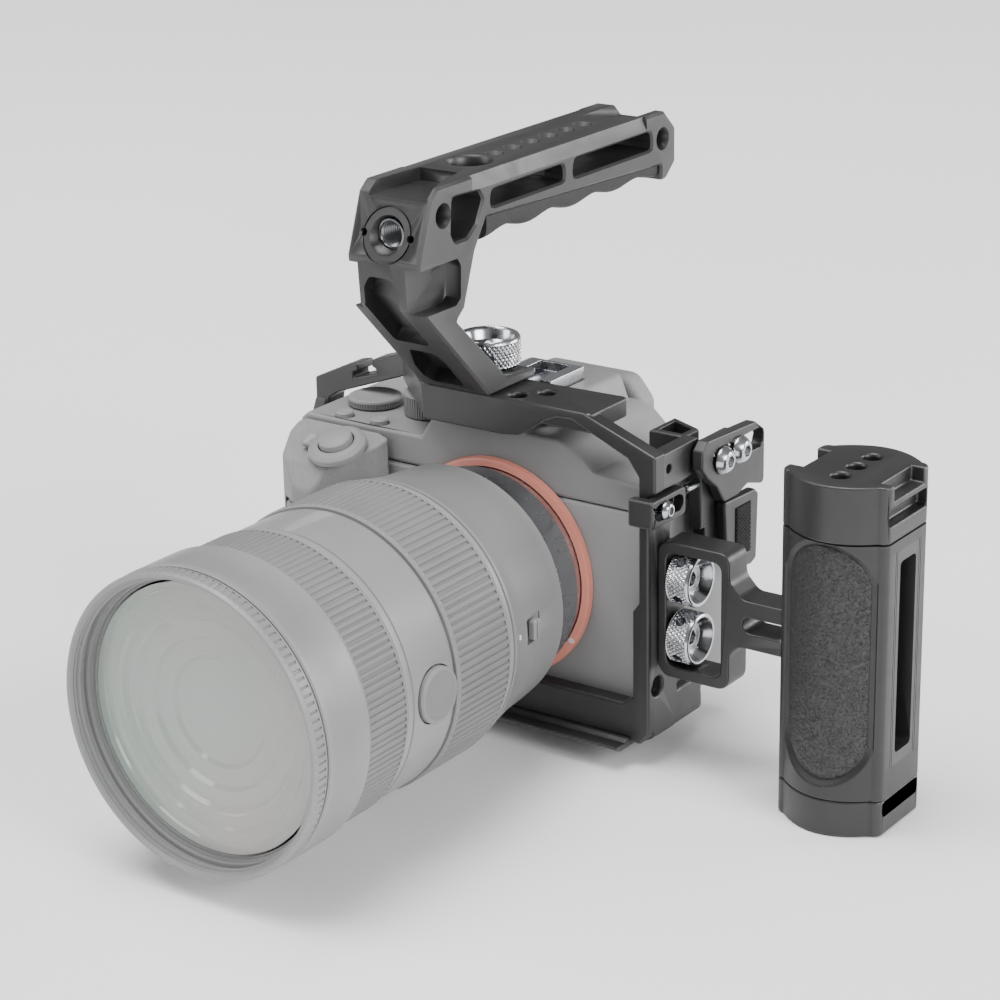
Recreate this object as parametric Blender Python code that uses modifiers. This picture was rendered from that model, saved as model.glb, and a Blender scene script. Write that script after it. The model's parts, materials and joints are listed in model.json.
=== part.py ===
"""Cinema camera rig: a mirrorless camera with a zoom lens in a metal cage, with a top handle, a side handle and a cable clamp.

Frame: origin on the underside of the quick release plate, below the lens axis, in the plane of the lens flange.
+X points to the side handle, +Y to the back of the camera and +Z up. The lens looks along -Y.
Dimensions below are in millimetres; the helpers turn them into metres.
"""

import math

import bmesh
import bpy
from mathutils import Matrix, Vector

MM = 0.001
GAP = 0.3

# Driving dimensions.
LENS_Z = 45.0
BODY_X = (-75.0, 53.7)
BODY_Y = (6.0, 52.0)
BODY_Z = (6.5, 70.7)
DECK_Z = 81.0
LENS_FRONT_Y = -136.0
LENS_R = 43.6
LEG_X = (53.9, 57.2)
CLAMP_BLOCK_X = (55.6, 60.0)
CLAMP_PLATE_X = (60.3, 64.0)
PLATE_TOP = 100.6
TOP_HANDLE_X = (-21.9, 3.5)
TOP_HANDLE_TOP = 167.6
ARM_TOP = (-33.0, 133.4)
ARM_SLOPE = math.radians(-45.6)
ARM_POCKET_DEPTH = 4.6
KNOB_XY = (-9.7, 16.6)
GRIP_CENTRE = (118.2, 9.5)
GRIP_HALF_WIDTH = 16.5
GRIP_Z = (-6.0, 97.4)
BRACKET_Y = (4.5, 14.9)
THUMB_Y = 9.7
THUMB_Z = (34.9, 53.1)
CLAMP_SCREWS = ((29.4, 83.3), (38.8, 83.9))
GRIP_SLOPE = math.radians(21.0)
SHUTTER = (-50.6, -5.6, 75.7)
CUSTOM_BUTTONS = ((-46.4, 9.9), (-60.0, 9.9))
EXPOSURE_DIAL_XY = (-59.0, 24.0)
MODE_DIAL_XY = (-38.0, 26.0)
RELEASE_XZ = (-28.6, 18.6)
HOLD_BUTTON_Y = -82.0


def clear_scene():
    for obj in list(bpy.data.objects):
        bpy.data.objects.remove(obj)


clear_scene()
RIG = bpy.data.collections.new("cinema_camera_rig")
CUTTERS = bpy.data.collections.new("cutters")
CUTTERS.hide_render = True
for group in (RIG, CUTTERS):
    bpy.context.scene.collection.children.link(group)


def make_material(name, colour, roughness, metallic):
    material = bpy.data.materials.new(name)
    material.use_nodes = True
    shader = material.node_tree.nodes["Principled BSDF"]
    shader.inputs["Base Color"].default_value = (*colour, 1.0)
    shader.inputs["Roughness"].default_value = roughness
    shader.inputs["Metallic"].default_value = metallic
    return material


ANODISED = make_material("black_anodised", (0.035, 0.035, 0.038), 0.42, 0.7)
STEEL = make_material("silver_steel", (0.62, 0.63, 0.66), 0.28, 1.0)
PAD = make_material("grip_pad", (0.05, 0.05, 0.052), 0.75, 0.0)
BODY = make_material("camera_shell", (0.3, 0.3, 0.31), 0.5, 0.0)
RUBBER = make_material("camera_rubber", (0.24, 0.24, 0.25), 0.7, 0.0)
BARREL = make_material("lens_barrel", (0.33, 0.33, 0.34), 0.45, 0.0)
RING = make_material("lens_rubber", (0.27, 0.27, 0.28), 0.65, 0.0)
GLASS = make_material("lens_glass", (0.36, 0.42, 0.4), 0.08, 0.0)
ORANGE = make_material("mount_orange", (0.75, 0.2, 0.14), 0.35, 0.0)
SENSOR = make_material("sensor_surface", (0.1, 0.14, 0.16), 0.2, 0.2)


def finish_mesh(bm, name="shape"):
    """Welds coincident points, turns the faces outwards and returns the mesh."""
    bmesh.ops.remove_doubles(bm, verts=bm.verts, dist=1e-6)
    bmesh.ops.recalc_face_normals(bm, faces=bm.faces)
    mesh = bpy.data.meshes.new(name)
    bm.to_mesh(mesh)
    bm.free()
    return mesh


def evaluated_mesh(obj):
    """The mesh that an object makes, welded, with the object removed."""
    RIG.objects.link(obj)
    bpy.context.view_layer.update()
    graph = bpy.context.evaluated_depsgraph_get()
    mesh = bpy.data.meshes.new_from_object(obj.evaluated_get(graph))
    bpy.data.objects.remove(obj)
    bm = bmesh.new()
    bm.from_mesh(mesh)
    return finish_mesh(bm)


def box(low, high, chamfer=0.0):
    bm = bmesh.new()
    bmesh.ops.create_cube(bm, size=1.0)
    size = [(b - a) * MM for a, b in zip(low, high)]
    centre = [(a + b) / 2 * MM for a, b in zip(low, high)]
    bmesh.ops.transform(bm, matrix=Matrix.Translation(centre) @ Matrix.Diagonal((*size, 1)), verts=bm.verts)
    if chamfer:
        bmesh.ops.bevel(bm, geom=bm.edges, offset=chamfer * MM, segments=1, affect="EDGES")
    return finish_mesh(bm)


def turned_matrix(origin, direction):
    """Puts local Z on the direction, with the local origin at the given point."""
    turn = Vector((0, 0, 1)).rotation_difference(Vector(direction)).to_matrix().to_4x4()
    return Matrix.Translation(Vector(origin) * MM) @ turn


def rod(start, end, radius, steps=12, chamfer=0.0):
    """A straight cylinder between two points."""
    axis = Vector(end) - Vector(start)
    bm = bmesh.new()
    bmesh.ops.create_cone(bm, cap_ends=True, segments=steps, radius1=radius * MM, radius2=radius * MM,
                          depth=axis.length * MM)
    if chamfer:
        rims = [edge for edge in bm.edges if abs(edge.verts[0].co.z - edge.verts[1].co.z) < 1e-9]
        bmesh.ops.bevel(bm, geom=rims, offset=chamfer * MM, segments=1, affect="EDGES")
    middle = (Vector(start) + Vector(end)) / 2
    bmesh.ops.transform(bm, matrix=turned_matrix(middle, axis), verts=bm.verts)
    return finish_mesh(bm)


def turned(profile, origin=(0, 0, LENS_Z), direction=(0, 1, 0), steps=28):
    """A closed profile of (radius, distance along the axis) points, turned about the axis with a Screw."""
    bm = bmesh.new()
    points = [bm.verts.new((r * MM, 0, along * MM)) for r, along in profile]
    for first, second in zip(points, points[1:] + points[:1]):
        if first.co.x > 1e-9 or second.co.x > 1e-9:
            bm.edges.new((first, second))
    mesh = bpy.data.meshes.new("profile")
    bm.to_mesh(mesh)
    bm.free()
    obj = bpy.data.objects.new("profile", mesh)
    screw = obj.modifiers.new("Screw", "SCREW")
    screw.steps = screw.render_steps = steps
    screw.use_merge_vertices = True
    screw.merge_threshold = 0.000001
    shape = evaluated_mesh(obj)
    shape.transform(turned_matrix(origin, direction))
    return shape


def ring(outer, inner, low, high, chamfer=0.5):
    """The profile of a plain ring with chamfered outer edges."""
    return [(inner, low), (outer - chamfer, low), (outer, low + chamfer),
            (outer, high - chamfer), (outer - chamfer, high), (inner, high)]


def rounded(points, radius, steps=2):
    """The outline with each corner turned into an arc."""
    outline = []
    for index, corner in enumerate(points):
        here = Vector(corner)
        before = Vector(points[index - 1]) - here
        after = Vector(points[(index + 1) % len(points)]) - here
        half = before.angle(after) / 2
        reach = min(radius / math.tan(half), before.length * 0.45, after.length * 0.45)
        start = here + before.normalized() * reach
        end = here + after.normalized() * reach
        for step in range(steps + 1):
            t = step / steps
            outline.append(tuple(start * (1 - t) ** 2 + here * 2 * t * (1 - t) + end * t ** 2))
    return outline


def stadium(centre, half_length, radius, steps=4, upright=False):
    """A slot outline: two half circles joined by straight sides."""
    points = []
    for side in (1, -1):
        for step in range(steps + 1):
            angle = math.pi * (step / steps - 0.5) + (0 if side > 0 else math.pi)
            x = side * half_length + radius * math.cos(angle)
            y = radius * math.sin(angle)
            points.append((centre[0] - y, centre[1] + x) if upright else (centre[0] + x, centre[1] + y))
    return points


PLANES = {
    "X": Matrix(((0, 0, 1, 0), (1, 0, 0, 0), (0, 1, 0, 0), (0, 0, 0, 1))),
    "Y": Matrix(((1, 0, 0, 0), (0, 0, 1, 0), (0, 1, 0, 0), (0, 0, 0, 1))),
    "Z": Matrix.Identity(4),
}


def plate(loops, low, high, along, chamfer=0.0):
    """Flat outlines, the first outside and the rest holes, given a thickness along X, Y or Z."""
    curve = bpy.data.curves.new("outline", "CURVE")
    curve.dimensions = "2D"
    curve.fill_mode = "BOTH"
    curve.extrude = (high - low) / 2 * MM - chamfer * MM
    curve.bevel_depth = chamfer * MM
    curve.bevel_resolution = 0
    curve.offset = -chamfer * MM
    for loop in loops:
        spline = curve.splines.new("POLY")
        spline.points.add(len(loop) - 1)
        for point, (a, b) in zip(spline.points, loop):
            point.co = (a * MM, b * MM, 0, 1)
        spline.use_cyclic_u = True
    mesh = evaluated_mesh(bpy.data.objects.new("outline", curve))
    mesh.transform(PLANES[along] @ Matrix.Translation((0, 0, (low + high) / 2 * MM)))
    bm = bmesh.new()
    bm.from_mesh(mesh)
    return finish_mesh(bm)


def solid(name, material, base, add=(), cut=(), origin=(0, 0, 0)):
    """One named piece: a base shape, joined with some shapes and cut by others, its origin at the given point."""
    place = Matrix.Translation(Vector(origin) * MM)
    base.transform(place.inverted())
    base.name = name
    obj = bpy.data.objects.new(name, base)
    obj.matrix_world = place
    RIG.objects.link(obj)
    base.materials.append(material)
    operations = [(mesh, "UNION") for mesh in add] + [(mesh, "DIFFERENCE") for mesh in cut]
    for number, (mesh, operation) in enumerate(operations):
        tool = bpy.data.objects.new(f"{name}_tool_{number}", mesh)
        tool.hide_render = True
        tool.display_type = "WIRE"
        CUTTERS.objects.link(tool)
        modifier = obj.modifiers.new(f"{operation.title()} {number}", "BOOLEAN")
        modifier.object = tool
        modifier.operation = operation
        modifier.solver = "EXACT"
    base.shade_smooth()
    base.set_sharp_from_angle(angle=math.radians(35))
    return obj


def tilted(mesh, pivot, angle):
    """Leans a shape about the X direction through a point."""
    middle = Vector(pivot) * MM
    mesh.transform(Matrix.Translation(middle) @ Matrix.Rotation(angle, 4, "X") @ Matrix.Translation(-middle))
    return mesh


# ---------------------------------------------------------------- cage


def cage_front():
    """Skirt of the top plate, right arm and right leg, as one flat frame in front of the camera."""
    outline = [
        (-23.4, PLATE_TOP), (35.0, PLATE_TOP), (59.4, 91.4), (59.4, 80.5), (LEG_X[1], 79.0),
        (LEG_X[1], 5.0), (54.0, 1.4), (-34.8, 1.4), (-34.8, 13.5), (48.0, 13.5), (51.6, 16.0),
        (51.6, 43.0), (53.7, 46.0), (53.7, 84.5), (50.0, 89.6), (35.5, 95.8), (31.0, 98.0), (26.0, 97.8),
        (21.5, 96.0), (16.9, 92.4), (12.0, 89.8), (6.0, 89.1), (-22.8, 89.1),
    ]
    return plate([outline], 0.0, 5.6, "Y", 0.5)


def cage_frame():
    top = plate([rounded([(-24, 0.5), (37.5, 0.5), (37.5, 20.5), (9.0, 19.4), (-18, 19.4), (-24, 8)], 1.5)],
                94.6, PLATE_TOP, "Z", 0.5)
    arm = plate([[(-16, 0.8), (-23.2, 0.8), (-49.3, 25.6), (-49.3, 33.4), (-44, 33.4), (-18, 13)]],
                90.4, 99.6, "Z", 0.5)
    beam_outline = [(-46.0, 99.4), (-61.2, 94.6), (-61.2, 92.4), (-59.6, 91.9), (-59.6, 90.4), (-68.5, 87.6),
                    (-68.5, 89.4), (-66.6, 90.1), (-66.6, 92.6), (-70.5, 91.8), (-84.0, 85.4), (-84.0, 74.0),
                    (-79.4, 74.0), (-78.6, 79.4), (-75.0, 81.8), (-49.0, 91.2), (-46.0, 91.2)]
    beam = plate([beam_outline], 25.2, 33.6, "Y", 0.4)
    leg = plate([rounded([(25.4, 80), (17.5, 62.6), (12.5, 43), (9.0, 20), (9.0, 2), (24, 2), (24, 20), (25, 43),
                          (29, 62), (33.4, 80)], 3)], -84.0, -79.4, "X", 0.4)
    base = plate([rounded([(-84, 9), (-47, 9), (-44, 3), (55, 3), (55, 35.5), (-84, 35.5)], 3)],
                 1.0, 6.2, "Z", 0.6)
    side = plate([rounded([(3, 80.4), (14, 80.0), (24, 80.6), (24, 91.2), (3, 91.2)], 1)],
                 54.4, 59.2, "X", 0.4)
    block = plate([[(43.4, 22.0), (58.4, 22.0), (58.4, 23.6), (55.2, 23.8), (55.2, 31.0), (43.4, 36.4)]],
                  82.6, 91.0, "Z", 0.5)
    foot = box((54.2, 3.0, 4.0), (57.2, 30.0, 14.0), 0.5)
    column = plate([rounded([(3, 3), (16, 3), (16, 26), (12, 32), (12, 70), (16, 79.5), (3, 80)], 2)],
                   LEG_X[0], LEG_X[1], "X", 0.3)
    pocket = plate([[(45.4, 24.4), (53.2, 24.4), (53.2, 29.8), (45.4, 33.4)]], 84.8, 94.0, "Z")
    recess = box((-50.4, -3, 0.4), (50.8, 50, 3.2))
    mount_room = rod((0, -2, LENS_Z), (0, 5.9, LENS_Z), 35.0, 28)
    screw_hole = rod((0, 22, -2), (0, 22, 9), 4.0)
    holes = [rod((LEG_X[0] - 2, THUMB_Y, z), (63, THUMB_Y, z), 2.8) for z in THUMB_Z]
    hook_hole = rod((50, 3.2, 75.4), (63, 3.2, 75.4), 1.8)
    eyelet = rod((50, 5.0, 19.0), (63, 5.0, 19.0), 2.9)
    small_hole = rod((50, 8.0, 86.0), (63, 8.0, 86.0), 1.3, 8)
    top_holes = [rod((8.9, 4.8, 90), (8.9, 4.8, 105), 2.6), rod((14.9, 11.2, 90), (14.9, 11.2, 105), 2.6)]
    knob_hole = rod((*KNOB_XY, 90), (*KNOB_XY, 105), 2.6)
    solid("cage_frame", ANODISED, cage_front(),
          add=[top, arm, beam, leg, base, side, block, foot, column],
          cut=[pocket, recess, mount_room, screw_hole, eyelet, hook_hole, small_hole, knob_hole, *holes, *top_holes])


def quick_release_plate():
    profile = [(-4.6, 0.0), (38.6, 0.0), (40.8, 1.6), (40.8, 2.9), (-1.2, 2.9), (-2.4, 1.9), (-6.6, 1.9), (-6.6, 1.0)]
    lip = plate([profile], -50.0, 50.5, "X")
    solid("quick_release_plate", ANODISED, lip,
          cut=[rod((0, 22, -2), (0, 22, 5), 7.0), rod((30, 22, -2), (30, 22, 5), 2.5)])


def tripod_screw():
    """The camera screw that holds the camera down: a head in the plate and a shank up into the camera."""
    profile = [(0, 0.3), (6.4, 0.3), (6.4, 2.6), (3.1, 2.6), (3.1, 10.4), (2.6, 10.9), (0, 10.9)]
    solid("camera_screw", STEEL, turned(profile, (0, 22, 0), (0, 0, 1), 24),
          cut=[box((-4.5, 21.4, -0.5), (4.5, 22.6, 1.3))])


def side_hook():
    side = plate([rounded([(-4.0, 71.0), (14.4, 71.0), (14.4, 79.3), (-4.0, 79.3)], 1.2),
                  stadium((5.4, 75.3), 5.2, 2.4)], 57.6, 60.9, "X", 0.25)
    claw = box((52.6, -4.0, 71.0), (60.9, -0.4, 79.3), 0.5)
    solid("side_hook", ANODISED, side, add=[claw])


def hook_screw():
    profile = [(0, 55.2), (1.5, 55.2), (1.5, 61.2), (2.7, 61.2), (2.7, 62.6), (2.2, 63.0), (0, 63.0)]
    solid("hook_screw", STEEL, turned(profile, (0, 3.2, 75.4), (1, 0, 0), 16),
          cut=[rod((62.0, 3.2, 75.4), (64, 3.2, 75.4), 1.3, 6)])


def cable_clamp():
    outline = [(18.4, 83.2), (18.4, 88.6), (21.4, 91.2), (48.6, 89.8), (54.0, 86.0), (54.0, 68.8),
               (44.6, 71.6), (38.6, 69.8), (31.0, 69.8), (26.6, 75.8), (21.5, 79.8)]
    slot = stadium((38.6, 84.2), 11.4, 2.9)
    solid("clamp_plate", ANODISED, plate([rounded(outline, 1.4), slot], *CLAMP_PLATE_X, "X", 0.4))
    low_x, high_x = CLAMP_BLOCK_X
    block = plate([[(24.2, 62.4), (26.6, 62.4), (26.6, 50.2), (35.0, 50.2), (35.0, 64.0), (44.0, 76.0), (44.0, 88.0),
                    (24.2, 88.0)]], low_x, high_x, "X", 0.4)
    solid("clamp_block", ANODISED, block,
          cut=[rod((low_x - 2, y, z), (high_x + 2, y, z), 2.1) for y, z in CLAMP_SCREWS])
    jaw = plate([rounded([(33.6, 47.6), (47.6, 44.8), (50.8, 46.0), (51.6, 66.6), (49.6, 68.4), (31.6, 69.2)], 1.2)],
                CLAMP_PLATE_X[0], CLAMP_PLATE_X[1] - 0.4, "X", 0.5)
    face = CLAMP_PLATE_X[1] - 0.4
    solid("clamp_jaw", ANODISED, jaw, cut=[box((face - 1.0, 38.0, 49.6), (face + 2, 46.6, 65.6))])
    solid("clamp_jaw_pad", PAD, box((face - 0.7, 38.3, 49.9), (face + 0.6, 46.3, 65.3), 0.3))
    for name, (y, z) in zip(("clamp_screw_front", "clamp_screw_rear"), CLAMP_SCREWS):
        profile = [(0, 56.4), (1.8, 56.4), (1.8, 64.3), (4.3, 64.3), (4.3, 65.0), (3.2, 66.6), (1.9, 67.0), (0, 67.0)]
        solid(name, STEEL, turned(profile, (0, y, z), (1, 0, 0), 20),
              cut=[rod((65.4, y, z), (69, y, z), 1.9, 6)])
    solid("clamp_set_screw", STEEL, rod((58.5, 17.6, 76.8), (58.5, 23.9, 76.8), 1.4, 12, 0.3))


def side_bracket():
    outline = [(57.5, 26.0), (59.8, 23.2), (81.4, 23.2), (81.4, 34.8), (84.6, 37.8), (112.0, 37.8), (112.0, 52.4),
               (85.6, 52.4), (81.4, 56.8), (81.4, 65.2), (59.8, 65.2), (57.5, 63.0)]
    opening = rounded([(60.4, 26.6), (78.6, 26.6), (78.6, 61.8), (60.4, 61.8)], 2.0)
    slot = stadium((98.2, 45.1), 10.0, 2.3)
    shape = plate([rounded(outline, 2.2), opening, slot], *BRACKET_Y, "Y", 0.5)
    solid("side_bracket", ANODISED, shape,
          cut=[rod((55, THUMB_Y, z), (62, THUMB_Y, z), 2.8) for z in THUMB_Z])


def thumbscrews():
    profile = [(0, 54.3), (2.4, 54.3), (2.4, 60.8), (6.6, 60.8), (7.9, 61.8), (7.9, 68.6), (7.3, 69.2), (6.4, 69.2),
               (5.0, 65.8), (0, 65.8)]
    for name, z in zip(("thumbscrew_lower", "thumbscrew_upper"), THUMB_Z):
        solid(name, STEEL, turned(profile, (0, THUMB_Y, z), (1, 0, 0), 24), origin=(66, THUMB_Y, z),
              cut=[rod((63.2, THUMB_Y, z), (68, THUMB_Y, z), 2.4, 6)])


# ---------------------------------------------------------------- side handle


def grip_outline(inset=0.0, steps=8):
    """Plan outline of the side handle: flat sides, bowed front and back, and soft corners."""
    half, flat, bow = GRIP_HALF_WIDTH - inset, 12.6, 6.2 - inset
    x0, y0 = GRIP_CENTRE
    points = []
    for side in (-1, 1):
        for step in range(steps + 1):
            t = 2 * step / steps - 1
            x = -side * t * (half - 1.6)
            points.append((x0 - x, y0 + side * (flat + bow * (1 - t * t))))
        points.append((x0 - side * half * -1, y0 + side * (flat - 2.0)))
        points.append((x0 - side * half * -1, y0 - side * (flat - 2.0)))
    return points


def side_handle():
    x0, y0 = GRIP_CENTRE
    left, right = x0 - GRIP_HALF_WIDTH, x0 + GRIP_HALF_WIDTH
    seam_top, seam_bottom = 80.6, 5.0
    front, back = y0 - 18.8, y0 + 18.8
    body = plate([grip_outline()], seam_bottom, seam_top, "Z", 0.4)
    channel = box((left - 2, BRACKET_Y[0] - 0.4, 37.3), (116.6, BRACKET_Y[1] + 0.4, 52.9))
    long_slot = plate([stadium((y0 + 0.4, 45.5), 24.0, 4.6, upright=True)], 124.0, right + 3, "X")
    pad_front = plate([stadium((x0, 45.0), 22.0, 13.0, 6, True)], front - 6, front + 3.2, "Y")
    pad_back = plate([stadium((x0, 45.0), 22.0, 13.0, 6, True)], back - 3.2, back + 6, "Y")
    solid("side_handle_body", ANODISED, body, cut=[channel, long_slot, pad_front, pad_back])
    for name, low, high in (("side_handle_front_pad", front + 0.4, front + 2.9),
                            ("side_handle_back_pad", back - 2.9, back - 0.4)):
        pad = plate([stadium((x0, 45.0), 22.0, 12.6, 6, True)], low, high, "Y", 0.4)
        solid(name, PAD, pad)
    top = plate([grip_outline()], seam_top + GAP, GRIP_Z[1], "Z", 0.8)
    notches = [box((left - 2, y0 - 7.6, 92.0), (left + 4.2, y0 + 7.6, 99)),
               box((right - 4.2, y0 - 8.6, 93.0), (right + 2, y0 + 8.6, 99))]
    strap = box((right - 2.6, y0 - 11.0, 86.6), (right + 2, y0 + 11.0, 90.6))
    threads = [rod((x0, y0 + offset, 90), (x0, y0 + offset, 99), 2.7) for offset in (-9, 0, 9)]
    solid("side_handle_top_cap", ANODISED, top, cut=[*notches, strap, *threads])
    bottom = plate([grip_outline()], GRIP_Z[0], seam_bottom - GAP, "Z", 0.8)
    low_strap = box((right - 2.6, y0 - 9.6, 0.6), (right + 2, y0 + 9.6, 3.4))
    solid("side_handle_bottom_cap", ANODISED, bottom, cut=[low_strap, rod((x0, y0, -8), (x0, y0, 0), 3.1)])


# ---------------------------------------------------------------- top handle


def arm_cutter(outline):
    """A pocket cutter square to the arm's sloping front: points are (x, distance down the slope)."""
    pivot_y, pivot_z = ARM_TOP
    points = [(x, pivot_y + along) for x, along in outline]
    return tilted(plate([rounded(points, 1.6)], pivot_z - 3.0, pivot_z + ARM_POCKET_DEPTH, "Z"),
                  (0, pivot_y, pivot_z), ARM_SLOPE)


def top_handle():
    left, right = TOP_HANDLE_X
    middle = (left + right) / 2
    half = (right - left) / 2
    side = [(-24.4, TOP_HANDLE_TOP), (-27.7, 164.9), (-34.0, 147.4), ARM_TOP, (-1.2, PLATE_TOP + GAP),
            (22.0, PLATE_TOP + GAP), (22.0, 103.6), (7.6, 104.6), (-16.4, 127.2), (-12.6, 130.2), (-7.0, 145.8),
            (-1.0, 154.6), (92.5, 151.0), (92.5, 146.0), (95.5, 146.0), (100.8, 150.6), (100.8, 161.6),
            (94.5, TOP_HANDLE_TOP)]
    slots = [rounded([(0.8, 156.8), (39.0, 156.8), (38.4, 162.0), (1.6, 161.8)], 1.8),
             rounded([(43.2, 156.8), (87.4, 156.8), (86.6, 162.6), (44.0, 162.4)], 1.8),
             rounded([(-17.4, 163.4), (-4.8, 162.8), (-2.8, 160.2), (-6.2, 153.6), (-10.6, 150.4), (-16.6, 150.4),
                      (-18.2, 153.2)], 1.4)]
    frame = plate([rounded(side, 0.9, 2), *slots], left, right, "X", 0.7)
    pocket_outline = rounded([(-46.0, 145.6), (-15.8, 145.6), (-14.2, 143.2), (-14.6, 133.8), (-17.0, 132.0),
                              (-34.0, 132.0), (-46.0, 132.0)], 1.2)
    pockets = [plate([pocket_outline], right - 5.2, right + 2, "X"),
               plate([pocket_outline], left - 2, left + 3.6, "X")]
    column_scoop = plate([rounded([(-16.6, 126.0), (-16.6, 138.6), (-14.6, 142.0), (-7.4, 142.0), (-4.4, 139.0),
                                   (-4.4, 126.0)], 2.0)], -42.0, -28.8, "Y")
    arm_scoop = arm_cutter([(-17.0, -1.0), (-4.4, -1.0), (-4.4, 19.7), (-17.0, 19.7)])
    arm_pocket = arm_cutter([(-14.4, 24.2), (-5.6, 24.2), (-4.2, 27.0), (-4.2, 42.6), (-15.4, 42.6), (-17.8, 40.0),
                             (-17.8, 34.0)])
    socket = rod((middle, -40, 154.0), (middle, -19.6, 154.0), 4.7)
    shoe = plate([rounded([(-18.4, -40), (-17.8, -22.6), (-16.4, -6.0), (-2.8, -6.0), (-1.8, -14.0), (2.2, -24.0),
                           (2.4, -40)], 0.8)], 163.9, 172, "Z")
    rear_ramp = plate([[(76.0, TOP_HANDLE_TOP + 0.1), (96.0, 163.9), (104.0, 163.9), (104.0, 172), (76.0, 172)]],
                      left + 6.6, right - 3.4, "X")
    knob_room = rod((*KNOB_XY, 103.2), (*KNOB_XY, 122), 10.8, 24)
    knob_hole = rod((*KNOB_XY, 98), (*KNOB_XY, 106), 2.6)
    gutter = box((middle - 5.4, 3.0, 157.6), (middle + 5.4, 84.0, 161.4))
    top_holes = [rod((middle + 0.6, y, 158), (middle + 0.6, y, 170), 2.3, 12)
                 for y in (19.6 + 9.3 * k for k in range(6))]
    big_hole = rod((middle, 8.0, 164.4), (middle, 8.0, 170), 6.6, 24)
    side_holes = [rod((right - 5, y, 159.2), (right + 2, y, 159.2), 2.4) for y in (-22.0, 93.2)]
    solid("top_handle_frame", ANODISED, frame,
          cut=[*pockets, column_scoop, arm_scoop, arm_pocket, socket, shoe, rear_ramp, knob_room, knob_hole,
               gutter, big_hole, *top_holes, *side_holes])
    insert = turned([(4.4, -33.0), (4.4, -20.0), (3.4, -20.0), (3.4, -33.0)], (middle, 0, 154.0), (0, 1, 0), 24)
    solid("front_thread_insert", STEEL, insert)
    waves = [(92.2 - 93.0 * k / 24, 147.6 - 1.0 * math.cos(4 * math.tau * k / 24)) for k in range(24)]
    grip = [(0.4, 154.2), (92.2, 150.7), *waves]
    solid("top_handle_grip", PAD, plate([grip], middle - half + 1.2, middle + half - 1.2, "X", 0.9))


def locking_knob():
    base = PLATE_TOP + GAP
    profile = [(0, 95.2), (2.3, 95.2), (2.3, 103.9), (8.8, 103.9), (9.8, 104.9), (9.8, 112.4), (9.2, 113.2),
               (8.2, 113.2), (7.0, 108.4), (0, 108.4)]
    x, y = KNOB_XY
    solid("locking_knob", STEEL, turned(profile, (x, y, 0), (0, 0, 1), 28), origin=(x, y, base),
          cut=[rod((x, y, 105.6), (x, y, 111), 2.6, 6)])


# ---------------------------------------------------------------- camera


def camera_shells():
    opening = rod((0, 0, LENS_Z), (0, 24, LENS_Z), 25.2, 24)
    outline = rounded([(BODY_X[0], BODY_Z[0]), (BODY_X[1], BODY_Z[0]), (BODY_X[1], BODY_Z[1]),
                       (BODY_X[0], BODY_Z[1])], 1.6, 3)
    shell = plate([outline], *BODY_Y, "Y", 0.8)
    screen_bay = box((-38, 48.6, 14), (38, 60, 68))
    x, z = RELEASE_XZ
    release_seat = rod((x, -1, z), (x, 11.4, z), 4.3, 20)
    screw_well = rod((0, 22, 4), (0, 22, 12), 3.6)
    door_bay = box((52.2, 17.6, 19.6), (60, 41.4, 44.4))
    solid("camera_body", BODY, shell, cut=[opening, screen_bay, release_seat, screw_well, door_bay])
    top = [(-75.0, 71.0), (-75.0, 78.6), (-72.0, DECK_Z), (-28.0, DECK_Z), (-24.0, 87.4), (-20.0, 88.7),
           (22.0, 88.7), (27.0, 86.8), (34.0, 80.4), (51.0, 79.0), (53.7, 76.6), (53.7, 71.0)]
    hump = plate([rounded([(-21.0, 86.0), (-18.0, 96.6), (16.0, 96.6), (20.0, 86.0)], 2.0)], 20.2, 50.0, "Y", 0.8)
    button_seats = [rod((x, y, DECK_Z - 1.6), (x, y, DECK_Z + 3), 3.0) for x, y in CUSTOM_BUTTONS]
    solid("top_cover", BODY, plate([top], *BODY_Y, "Y", 0.8), add=[hump],
          cut=[box((-9.6, 20.6, 95.4), (10.0, 39.4, 99)), *button_seats])


def camera_grip():
    outline = rounded([(-74.0, 5.7), (-73.4, -1.0), (-68.6, -11.0), (-61.0, -16.4), (-53.0, -16.8), (-46.5, -8.0),
                       (-35.5, 5.7)], 4.0)
    slope = plate([[(-40, 44.0), (-17.4, 63.6), (-12.4, 72.6), (12, 82.0), (12, 110), (-40, 110)]], -90, -20, "X")
    dial_room = rod((-57.0, -7.6, 50.4), (-57.0, -7.6, 59.6), 10.9, 24)
    solid("camera_grip", RUBBER, plate([outline], 6.9, 84.0, "Z", 0.8), cut=[slope, dial_room])


def slope_point(distance):
    """A point on the shutter's axis, which leans forward with the top of the grip."""
    x, y, z = SHUTTER
    return x, y - math.sin(GRIP_SLOPE) * distance, z + math.cos(GRIP_SLOPE) * distance


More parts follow.
